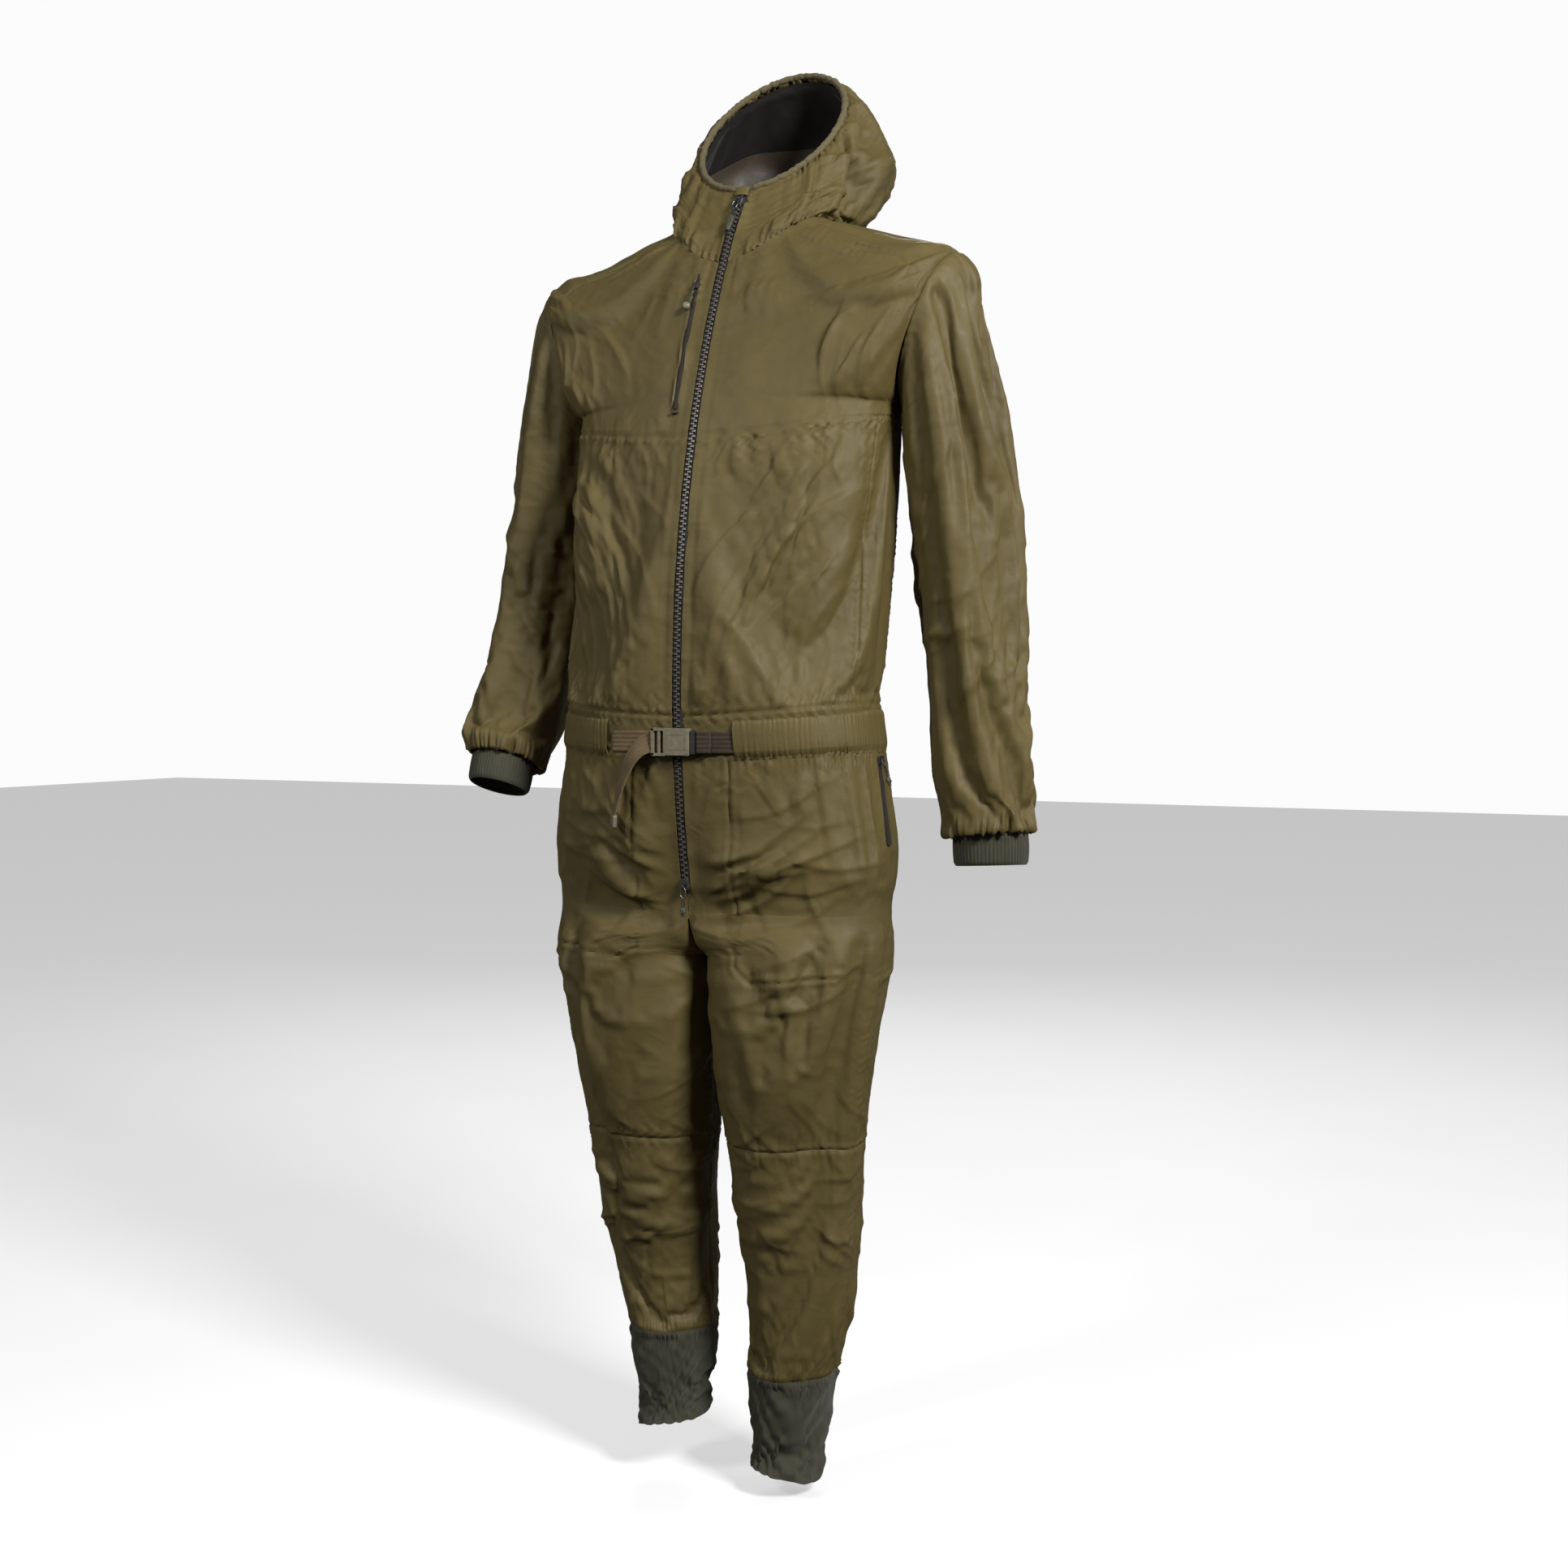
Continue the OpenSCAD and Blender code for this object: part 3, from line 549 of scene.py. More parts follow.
def seam(p, n, d, run, seed, pucker=1.0, reach=13.0, pitch=12.0, groove=1.1):
    """Press a seam into the cloth and pucker the cloth beside it, each pucker its own length."""
    press = -groove * np.exp(-(d / 1.8) ** 2)
    roll = 0.5 * groove * np.exp(-((d - 5.0) / 3.0) ** 2)
    far = reach * (0.55 + 0.55 * np.abs(wave(run / (2.3 * pitch), seed + 500)))
    drift = 0.3 * wave(d / 26, seed + 900)
    ripple = pucker * wave(run / pitch + drift, seed) * np.exp(-d / far) * (1 - np.exp(-(d / 4.0) ** 2))
    p += n * (press + roll + ripple)[..., None]
    return p


def creases(p, n, across, along, lines):
    """Sharp-crested folds, steep on one side and easy on the other, along bent lines."""
    for a0, b0, a1, b1, width, height in lines:
        da, db = a1 - a0, b1 - b0
        length = math.hypot(da, db)
        t = ((across - a0) * da + (along - b0) * db) / length**2
        off = ((across - a0) * db - (along - b0) * da) / length
        off = off - 0.09 * length * np.sin(np.pi * np.clip(t, 0, 1)) - 1.6 * np.sin(t * 8 + a0)
        end = smoothstep((t + 0.05) / 0.3) * smoothstep((1.08 - t) / 0.5)
        steep = np.exp(-np.abs(off / width) ** 1.5)
        easy = np.exp(-np.abs(off) / (3.0 * width))
        p += n * (height * end * np.where(off > 0, steep, easy))[..., None]
    return p


def run_table(point_at, v0, v1):
    """Row numbers, and the real length down one column to each of them."""
    v = np.linspace(v0, v1, 600)
    q = point_at(v)
    return v, np.concatenate([[0], np.cumsum(np.linalg.norm(np.diff(q, axis=0), axis=1))])


def down(v, table):
    """Real length down to a row."""
    return np.interp(v, *table)


def away(v, mark, table):
    """Real distance between rows and a marked row."""
    return np.abs(down(v, table) - down(mark, table))


def arc_uv(base):
    """Texture coordinates in metres, along the columns and down the rows."""
    du = np.linalg.norm(np.diff(base, axis=1), axis=-1)
    dv = np.linalg.norm(np.diff(base, axis=0), axis=-1)
    s = np.concatenate([[0], np.cumsum(du.mean(0))])
    t = np.concatenate([[0], np.cumsum(dv.mean(1))])
    uu, vv = np.meshgrid(s, t)
    return np.stack([uu, vv], -1) * MM


def cloth_object(name, g, inside):
    """A finished mesh from a grid, its faces turned away from inside, a point or one for each row."""
    flip = np.sum(g.normals() * (g.p - inside)) < 0
    p = np.concatenate([g.p, g.p[:, :1]], 1) if g.closed else g.p
    faces = Grid(p).faces()
    if flip:
        faces = faces[:, ::-1]
    return new_mesh(name, p, faces, arc_uv(p).reshape(-1, 2))


def thicken(obj, t):
    """Give an open sheet of cloth a back face and closed edges."""
    mod = obj.modifiers.new("thickness", "SOLIDIFY")
    mod.thickness = t * MM
    mod.offset = -1
    mod.use_even_offset = False
    apply_modifiers(obj)
    obj.data.set_sharp_from_angle(angle=math.radians(58))


def apply_modifiers(obj):
    """Keep the mesh that an object's modifiers make, and drop the modifiers."""
    graph = bpy.context.evaluated_depsgraph_get()
    mesh = bpy.data.meshes.new_from_object(obj.evaluated_get(graph))
    old = obj.data
    obj.modifiers.clear()
    obj.data = mesh
    bpy.data.meshes.remove(old)


# --- Trunk ---------------------------------------------------------------------------------------

ZIP_GAP = 6.4
ZIP_FOOT = -815.0


def zip_gap(z):
    """Half-width of the opening for the zip; below the zip the two fronts meet."""
    return 0.4 + (ZIP_GAP - 0.4) * smoothstep((z - ZIP_FOOT) / 8)


def v_stations(table, step):
    """Row numbers about step millimetres apart along a column."""
    v, run = table
    n = max(2, int(round(run[-1] / step)))
    return np.interp(np.linspace(0, run[-1], n + 1), run, v)


def with_rows(v, marks):
    """Move the nearest row onto each mark, so that a seam has a row of its own."""
    v = v.copy()
    for m in marks:
        v[np.argmin(abs(v - m))] = m
    return v


TRUNK_RUN = run_table(lambda v: trunk(np.full_like(v, 0.5), v, -1, 1), NECK, SEAT)
trunk_v = with_rows(v_stations(TRUNK_RUN, CELL),
                    [TIP, UNDERARM, CHEST_SEAM, WAIST_TOP, WAIST_BASE, SEAT])
front_w = np.linspace(0, 1, 30)
back_w = np.concatenate([np.linspace(1, 0, 26), np.linspace(0, 1, 26)[1:]])


def front_grid(side):
    half = rows_at(TRUNK, trunk_v)[:, 1]
    hole = (trunk_v > TIP) & (trunk_v < UNDERARM)
    edge = np.where(hole, armhole((trunk_v - TIP) / (UNDERARM - TIP), -1)[:, 0], half)
    gap = zip_gap(rows_at(TRUNK, trunk_v)[:, 0])
    start = 2 / np.pi * np.arcsin((gap / edge) ** (1 / ROUND))
    w = start[:, None] + (1 - start[:, None]) * front_w[None, :]
    return Grid(trunk(w, trunk_v[:, None], -1, side)), w


def back_grid():
    side = np.where(np.arange(len(back_w)) < 26, 1.0, -1.0)
    return Grid(trunk(back_w[None, :], trunk_v[:, None] + 0 * back_w[None, :], 1, 1)
                * np.stack([side, np.ones_like(side), np.ones_like(side)], -1)[None])


front = {}
front_ws = {}
for side in (1, -1):
    front[side], front_ws[side] = front_grid(side)
back = back_grid()
rng = np.random.default_rng(7)


def fold_trunk():
    seat_fade = smoothstep(away(trunk_v, SEAT, TRUNK_RUN) / 40)[:, None, None]
    for side in (1, -1):
        g = front[side]
        n = g.outward(np.array([0, 60.0, -450]))
        x, z = g.p[..., 0] * side, g.p[..., 2]
        lines = [
            (205, -250, 60, -430, 10, 6), (205, -285, 85, -500, 11, 7), (200, -330, 120, -560, 11, 6),
            (190, -240, 40, -345, 8, 4), (200, -400, 150, -585, 9, 5), (150, -300, 40, -520, 9, -4)]
        if side < 0:
            lines = [(200, -255, 75, -400, 10, 6), (205, -300, 60, -470, 11, 7),
                     (195, -360, 95, -575, 10, 6), (180, -230, 60, -300, 8, 4),
                     (120, -330, 35, -540, 9, -4)]
        lines += scatter(rng, 8, (25, 190), (-595, -590), 55, 85, 6, 3.5)
        lines += scatter(rng, 7, (30, 190), (-660, -650), 60, -88, 7, 3.5)
        lines += scatter(rng, 6, (60, 200), (-278, -272), 50, -80, 6, 3.0)
        lines += [(15, -835, 120, -760, 9, 6), (20, -800, 170, -730, 10, 4),
                  (30, -835, 190, -815, 9, 5), (60, -700, 75, -830, 12, 3)]
        lifted = bumps(g.p.copy(), n, x, z, lines)
        g.p += (lifted - g.p) * seat_fade
    n = back.outward(np.array([0, -150.0, -450]))
    lines = scatter(rng, 10, (-170, 170), (-590, -580), 90, 90, 10, 5)
    lines += scatter(rng, 10, (-170, 170), (-660, -650), 70, -90, 9, 4)
    lines += [(-190, -250, -60, -420, 12, 7), (190, -250, 60, -420, 12, 7),
              (-200, -330, -80, -560, 12, 6), (200, -340, 90, -560, 12, 6),
              (-120, -120, 120, -135, 14, 4), (-60, -60, 60, -64, 8, 3)]
    lifted = bumps(back.p.copy(), n, back.p[..., 0], back.p[..., 2], lines)
    back.p += (lifted - back.p) * seat_fade
    for g in (front[1], front[-1], back):
        wobble = rng.normal(0, 0.35, g.p.shape)
        g.p += blur(wobble, 1, 1, False) * 1.5 * seat_fade


fold_trunk()


def trunk_pins(g, front_piece):
    """1 where the cloth is held: seams, edges and the waistband; a light hold elsewhere."""
    v = trunk_v[:, None] + np.zeros(g.p.shape[:2])
    pin = np.full(v.shape, 0.015)
    for m in (NECK, SEAT):
        pin[np.isclose(v, m)] = 1
    pin[(v >= WAIST_TOP) & (v <= WAIST_BASE)] = 0.85
    pin[np.isclose(v, CHEST_SEAM)] = 0.25
    if front_piece:
        pin[:, 0] = 1
        pin[:, 1] = 0.5
        pin[:, -1] = np.where((trunk_v >= TIP) & (trunk_v <= UNDERARM), 1, 0.25)
    else:
        for c in (0, -1):
            pin[:, c] = np.where((trunk_v >= TIP) & (trunk_v <= UNDERARM), 1, 0.25)
    grow = np.full(v.shape, 0.75)
    grow += 0.25 * np.exp(-((v - WAIST_TOP) / 0.25) ** 2) + 0.25 * np.exp(-((v - WAIST_BASE) / 0.4) ** 2)
    return pin, np.clip(grow, 0, 1)


pieces = [front[1], back, front[-1]]
held = [trunk_pins(front[1], True), trunk_pins(back, False), trunk_pins(front[-1], True)]
prepare("trunk_cloth", pieces, [h[0] for h in held], [h[1] for h in held], merge=True)

# --- Arms ----------------------------------------------------------------------------------------

ARM_RUN = run_table(lambda v: arm(np.full_like(v, 0.0), v, 1), 0, CUFF)
arm_v = with_rows(v_stations(ARM_RUN, CELL), [CUFF])
arm_a = np.arange(44) * 360 / 44


def arm_lines(side):
    """Ridges by angle (as arc millimetres) and height: drag lines from the shoulder, elbow folds."""
    r = np.random.default_rng(21 if side > 0 else 22)
    lines = []
    unit_a = 70 * math.pi / 180
    for a, z0, z1, drift, width, height in (
            (20, -215, -560, 30, 9, 6), (48, -240, -600, -14, 9, 5), (75, -250, -470, 36, 9, 6),
            (100, -235, -640, -40, 10, 6), (130, -260, -420, 24, 8, 5), (160, -270, -600, -20, 10, 6),
            (200, -280, -640, 22, 10, 5), (240, -260, -560, -36, 10, 5), (280, -240, -620, 22, 10, 5),
            (320, -220, -500, -24, 9, 5), (345, -300, -640, 12, 9, 4)):
        for turn in (-360, 0, 360):
            lines.append(((a + turn) * unit_a, z0, (a + drift + turn) * unit_a, z1, width, height))
    elbow = -455 if side > 0 else -440
    for k in range(5):
        a = 95 + r.uniform(-30, 60)
        z = elbow + r.uniform(-60, 60)
        lines.append((a * unit_a, z, (a + r.uniform(50, 90)) * unit_a, z - r.uniform(10, 45), 7, 5))
    return lines, unit_a


CUFF_PUFF = {1: 5.0, -1: 1.0}
arms = {}
for side in (1, -1):
    g = Grid(arm(arm_a[None, :], arm_v[:, None], side), closed=True)
    core = rows_at(LEFT_ARM if side > 0 else RIGHT_ARM, arm_v)[:, None, :3] * np.array([side, 1, 1])
    n = g.outward(core)
    lines, unit_a = arm_lines(side)
    g.p = bumps(g.p, n, arm_a[None, :] * unit_a + 0 * g.p[..., 0], g.p[..., 2], lines)
    # cloth gathers above the cuff
    near = smoothstep((arm_v - 4.6) / 0.8)[:, None] * (1 - 0.85 * smoothstep((arm_v - 5.8) / 0.2))[:, None]
    g.p += n * (near * (2.6 * wave(arm_a / 32, 31 + side)[None, :] + CUFF_PUFF[side]))[..., None]
    droop = np.exp(-((arm_v - 5.75) / 0.35) ** 2) * (1 - smoothstep((arm_v - 5.9) / 0.1))
    g.p[..., 2] -= 14 * droop[:, None]
    g.p += blur(rng.normal(0, 0.35, g.p.shape), 1, 1, True) * 1.5
    pin = np.full(g.p.shape[:2], 0.012)
    pin[0] = 1
    pin[-1] = 1
    grow = np.full(g.p.shape[:2], 0.85) + 0.15 * smoothstep((arm_v - 4.5) / 1)[:, None]
    prepare("arm_cloth", [g], [pin], [np.clip(grow, 0, 1)])
    arms[side] = g

# --- Legs ----------------------------------------------------------------------------------------

LEG_RUN = run_table(lambda v: leg(np.full_like(v, 45.0), v, 1), -1, HEM)
leg_v = with_rows(v_stations(LEG_RUN, CELL), [-1, KNEE, ANKLE, HEM])
leg_a = np.arange(58) * 360 / 58
legs = {}


def leg_lines(side):
    unit_a = 85 * math.pi / 180
    lines = []

    def ring(a0, z0, a1, z1, width, height):
        for turn in (-360, 0, 360):
            lines.append(((a0 + turn) * unit_a, z0, (a1 + turn) * unit_a, z1, width, height))

    # soft cross folds at the top of the thigh, the knee and above the ankle panel
    ring(-80, -905, 30, -880, 10, 6)
    ring(-70, -940, 10, -960, 11, 6)
    ring(-95, -985, -20, -1030, 11, 5)
    ring(35, -950, 100, -1010, 12, 4)
    ring(60, -1080, 130, -1060, 10, 5)
    ring(-60, -1130, 60, -1122, 9, 5)
    ring(-80, -1175, 50, -1150, 9, 7)
    ring(-100, -1200, 40, -1195, 9, 7)
    ring(100, -1170, 230, -1160, 10, 7)
    ring(110, -1215, 240, -1205, 10, 6)
    ring(-30, -1240, 90, -1225, 9, 5)
    ring(-80, -1300, 20, -1285, 9, 4)
    ring(60, -1330, 170, -1300, 9, 4)
    ring(-20, -1345, 60, -1360, 8, 4)
    ring(-60, -1380, 60, -1372, 7, 5)
    ring(10, -1000, 20, -1100, 14, 4)
    ring(-15, -1240, -10, -1330, 12, 3)
    if side < 0:
        ring(-70, -1150, 60, -1185, 8, 9)
        ring(-90, -1120, 20, -1160, 9, 6)
    return lines, unit_a


for side in (1, -1):
    g = Grid(leg(leg_a[None, :], leg_v[:, None], side), closed=True)
    core = rows_at(LEG, leg_v)[:, None, :3] * np.array([side, 1, 1])
    n = g.outward(core)
    z = rows_at(LEG, leg_v)[:, 2][:, None] + 0 * g.p[..., 2]
    lines, unit_a = leg_lines(side)
    hold = smoothstep((leg_v + 1) / 0.6)[:, None]
    lifted = bumps(g.p.copy(), n, leg_a[None, :] * unit_a + 0 * z, z, lines)
    g.p += (lifted - g.p) * hold[..., None]
    # the stretch panel stacks in rolls over the ankle
    ankle = smoothstep((leg_v - ANKLE) / 0.12)[:, None] * (1 - smoothstep((leg_v - 7.75) / 0.25))[:, None]
    slant = 24 * np.cos(np.radians(leg_a - 60))[None, :] + 8 * np.sin(np.radians(2 * leg_a + 60))[None, :]
    roll = np.sin((z + slant) / 21 * 2 * np.pi + 1.2 * np.sin(np.radians(leg_a))[None, :])
    g.p += n * (ankle * (0.9 * roll + 3.0 * wave((z[:, :1] + 3 * slant) / 52, 77)))[..., None]
    g.p += blur(rng.normal(0, 0.35, g.p.shape), 1, 1, True) * 1.5 * hold[..., None]
    pin = np.full(g.p.shape[:2], 0.012)
    pin[0] = 1
    pin[-1] = 1
    pin[np.isclose(leg_v, KNEE)] = 0.12
    pin[np.isclose(leg_v, ANKLE)] = 0.35
    grow = np.full(g.p.shape[:2], 0.7)
    grow += 0.3 * np.exp(-((leg_v - 3.6) / 0.7) ** 2)[:, None]
    grow -= 0.3 * smoothstep((leg_v - 5.6) / 0.4)[:, None]
    prepare("leg_cloth", [g], [pin], [np.clip(grow, 0, 1)])
    legs[side] = g

# --- Hood ----------------------------------------------------------------------------------------

HOOD_START = (4.6, 2.4)
HOOD_ARC, HOOD_RUN = 1.9, 210
hood_a = np.linspace(HOOD_START[1], 360 - HOOD_START[1], 64)
hood_v = np.linspace(0.015, 1, 30)
start = HOOD_START[0] + (HOOD_START[1] - HOOD_START[0]) * hood_v[:, None]
hood_u = start + (360 - 2 * start) * np.linspace(0, 1, 64)[None, :]
hood_outer = Grid(hood(hood_u, hood_v[:, None]))


def fold_hood():
    g = hood_outer
    n = g.outward(np.array([0, 10.0, 70]))
    arc = hood_a[None, :] * HOOD_ARC + 0 * g.p[..., 0]
    run = hood_v[:, None] * HOOD_RUN + 0 * g.p[..., 0]
    lines = []
    r = np.random.default_rng(5)
    for k in range(26):
        a = 60 + k * 9.6 + r.uniform(-3, 3)
        lines.append((a * HOOD_ARC, -5, (a + r.uniform(-6, 6)) * HOOD_ARC, r.uniform(45, 110), 5,
                      r.uniform(2, 4.5)))
    for k in range(16):
        a = 20 + k * 21 + r.uniform(-5, 5)
        lines.append((a * HOOD_ARC, 215, (a + r.uniform(-8, 8)) * HOOD_ARC, r.uniform(120, 175), 7,
                      r.uniform(2.5, 5)))
    lines += [(a0 * HOOD_ARC, b0, a1 * HOOD_ARC, b1, 12, height) for a0, b0, a1, b1, height in (
        (60, 150, 130, 120, 6), (300, 150, 230, 120, 6), (150, 160, 215, 150, 6), (110, 70, 170, 90, 4))]
    g.p = bumps(g.p, n, arc, run, lines)
    g.p += blur(rng.normal(0, 0.35, g.p.shape), 1, 1, False) * 1.5


fold_hood()
pin = np.full(hood_outer.p.shape[:2], 0.015)
pin[0] = pin[-1] = 1
pin[:, 0] = pin[:, -1] = 1
prepare("hood_cloth", [hood_outer], [pin], [np.full(pin.shape, 0.8)])

settle(0.045)
for g in [front[1], front[-1], back, hood_outer] + list(arms.values()) + list(legs.values()):
    keep_shape(g)
# the filling under the shell keeps it rounder than bare cloth, most of all over the chest
filled = [(front[1], trunk_v), (front[-1], trunk_v), (back, trunk_v), (legs[1], leg_v), (legs[-1], leg_v)]
for g, at_v in filled:
    share = 0.8 if g.closed else (0.45 + 0.3 * smoothstep((at_v - UNDERARM) / 2.2))[:, None, None]
    g.p = g.base + (g.p - g.base) * share
# trunk and legs meet in one smooth surface, and so do the shoulders and the sleeves
RISE_REACH, ARMHOLE_REACH = 45, 26
joints = [(g, at_v, LEG_RUN if g.closed else TRUNK_RUN, -1 if g.closed else SEAT, RISE_REACH)
          for g, at_v in filled]
joints += [(arms[side], arm_v, ARM_RUN, 0, ARMHOLE_REACH) for side in (1, -1)]
for g, at_v, table, mark, reach in joints:
    settled = smoothstep(away(at_v, mark, table) / reach)[:, None, None]
    g.p = g.base + (g.p - g.base) * settled
TIP_AT = np.array([274.0, -62, -63])
for g in (front[1], front[-1], back, arms[1], arms[-1]):
    far = np.linalg.norm(np.abs(g.base * [1, 0, 0]) + g.base * [0, 1, 1] - TIP_AT, axis=-1)
    g.p = g.base + (g.p - g.base) * smoothstep(far / 85)[..., None]


def join_sides():
    """Bring the side edges of the fronts and the back together, easing the step over the next columns."""
    near = np.arange(4)
    ease = np.array([1, 0.75, 0.5, 0.25])[None, :, None]
    whole = ((trunk_v <= TIP) | (trunk_v >= UNDERARM))[:, None, None]
    for side, theirs in ((1, near), (-1, -1 - near)):
        f, mine = front[side], -1 - near
        step = whole * (back.p[:, theirs[:1]] - f.p[:, mine[:1]]) / 2
        f.p[:, mine] += step * ease
        back.p[:, theirs] -= step * ease


def level_seat(g, v):
    """Let the trunk come down to the legs upright, as the legs start."""
    seat = g.p[int(np.argmin(np.abs(v - SEAT))), :, :2].copy()
    share = smoothstep(away(v, SEAT, TRUNK_RUN) / 34)[:, None, None]
    g.p[..., :2] = seat + (g.p[..., :2] - seat) * share


join_sides()


# --- From settled grids to finished cloth ---------------------------------------------------------

made = []


def finer(g, k):
    rows, cols = g.p.shape[:2]
    at_r = np.linspace(0, rows - 1, (rows - 1) * k + 1)
    at_c = np.arange(cols * k) / k if g.closed else np.linspace(0, cols - 1, (cols - 1) * k + 1)
    out = g.resample(at_r, at_c)
    return out, at_r, at_c


def add_crinkle(g, n, seed, fade=1.0):
    """Fine random creases of a light nylon shell, below the size the settling gives."""
    r = np.random.default_rng(seed)
    field = blur(r.normal(0, 1, g.p.shape[:2]), 1, 1, g.closed)
    field /= field.std()
    wide = blur(r.normal(0, 1, g.p.shape[:2]), 3, 3, g.closed)
    wide /= wide.std()
    sharp = -np.abs(wide) + 0.8
    g.p += n * (fade * 0.5 * (0.25 * field + 0.9 * sharp))[..., None]


def cut(g, first, last):
    """The part of a grid between two rows, both kept."""
    return Grid(g.p[first:last + 1], g.closed)


def finish_cloth(name, g, inside, replaces, body="suit", t=1.4):
    """Make a cloth piece, say what it replaces and what it rides on, and note it for dressing."""
    obj = cloth_object(name, g, inside)
    thicken(obj, t)
    if replaces:
        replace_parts(obj, *replaces)
    if body:
        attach(obj, body)
    made.append(obj)
    return obj


trunk_inside = np.array([0.0, -60, -450])
CHEST_X = -28.0
CHEST_SLIT = (-243.0, -76.0)


def row_span(g, v_col):
    """Real length of each row of a grid, as a table of row number and length."""
    return v_col, np.linalg.norm(np.diff(g.p, axis=1), axis=-1).sum(1)


def front_creases(side):
    """Sharp folds of one front: down from the armpit, round the seams and up from the crotch."""
    r = np.random.default_rng(200 + side)
    lines = scatter(r, 15, (150, 205), (-430, -250), 190, 238, 4.5, 3.6)
    lines += scatter(r, 8, (90, 160), (-420, -300), 150, 244, 3.5, 2.6)
    lines += scatter(r, 10, (20, 190), (-603, -596), 75, 97, 3.5, 2.2)
    lines += scatter(r, 9, (40, 200), (-282, -278), 60, 262, 3.5, 2.0)
    lines += scatter(r, 9, (165, 235), (-190, -110), 100, 250, 3.8, 3.2)
    lines += scatter(r, 8, (20, 90), (-96, -82), 60, 278, 3.5, 1.8)
    lines += scatter(r, 10, (12, 40), (-835, -760), 140, 32, 4.5, 3.8)
    lines += scatter(r, 8, (30, 190), (-668, -660), 70, 262, 3.5, 1.8)
    lines += scatter(r, 6, (60, 120), (-800, -700), 120, 15, 4.0, 2.6)
    lines += scatter(r, 5, (18, 40), (-520, -300), 90, 250, 3.0, 1.4)
    return lines


def rise_creases(side):
    """Folds that run across the line where the trunk hands over to the legs, in x and z."""
    lines = [(24, -846, 176, -748, 6, 4.2), (40, -872, 196, -800, 6, 3.6), (60, -790, 176, -905, 6, -2.4),
             (150, -778, 196, -892, 5, 2.6), (92, -764, 118, -880, 5, 2.2), (34, -800, 84, -896, 5, -2.6),
             (70, -902, 190, -846, 6, 3.0), (26, -818, 110, -790, 5, 2.6)]
    if side < 0:
        lines = [(22, -842, 150, -742, 6, 4.2), (44, -864, 190, -830, 6, 3.4), (58, -782, 150, -900, 6, -2.4),
                 (140, -790, 186, -876, 5, 2.8), (80, -770, 96, -886, 5, 2.4), (30, -884, 150, -858, 6, 3.2)]
    return lines


def open_slit(g, x, z):
    """Press the cloth down under the chest pocket's zip and fold a lip along each side of it."""
    inside = smoothstep((z - CHEST_SLIT[0]) / 10) * smoothstep((CHEST_SLIT[1] - z) / 10)
    rad = np.stack([0 * x, g.p[..., 1] - ZIP_Y, g.p[..., 2] - ZIP_Z], -1)
    dist = np.linalg.norm(rad, axis=-1)
    way = rad / dist[..., None]
    d = np.abs(x + CHEST_X)
    near = inside * np.exp(-(d / 12) ** 4)
    g.p += way * (near * (ZIP_R + 0.2 - dist))[..., None]
    lip = inside * 3.0 * np.exp(-((d - 4.2) / 1.7) ** 2)
    g.p += way * lip[..., None]


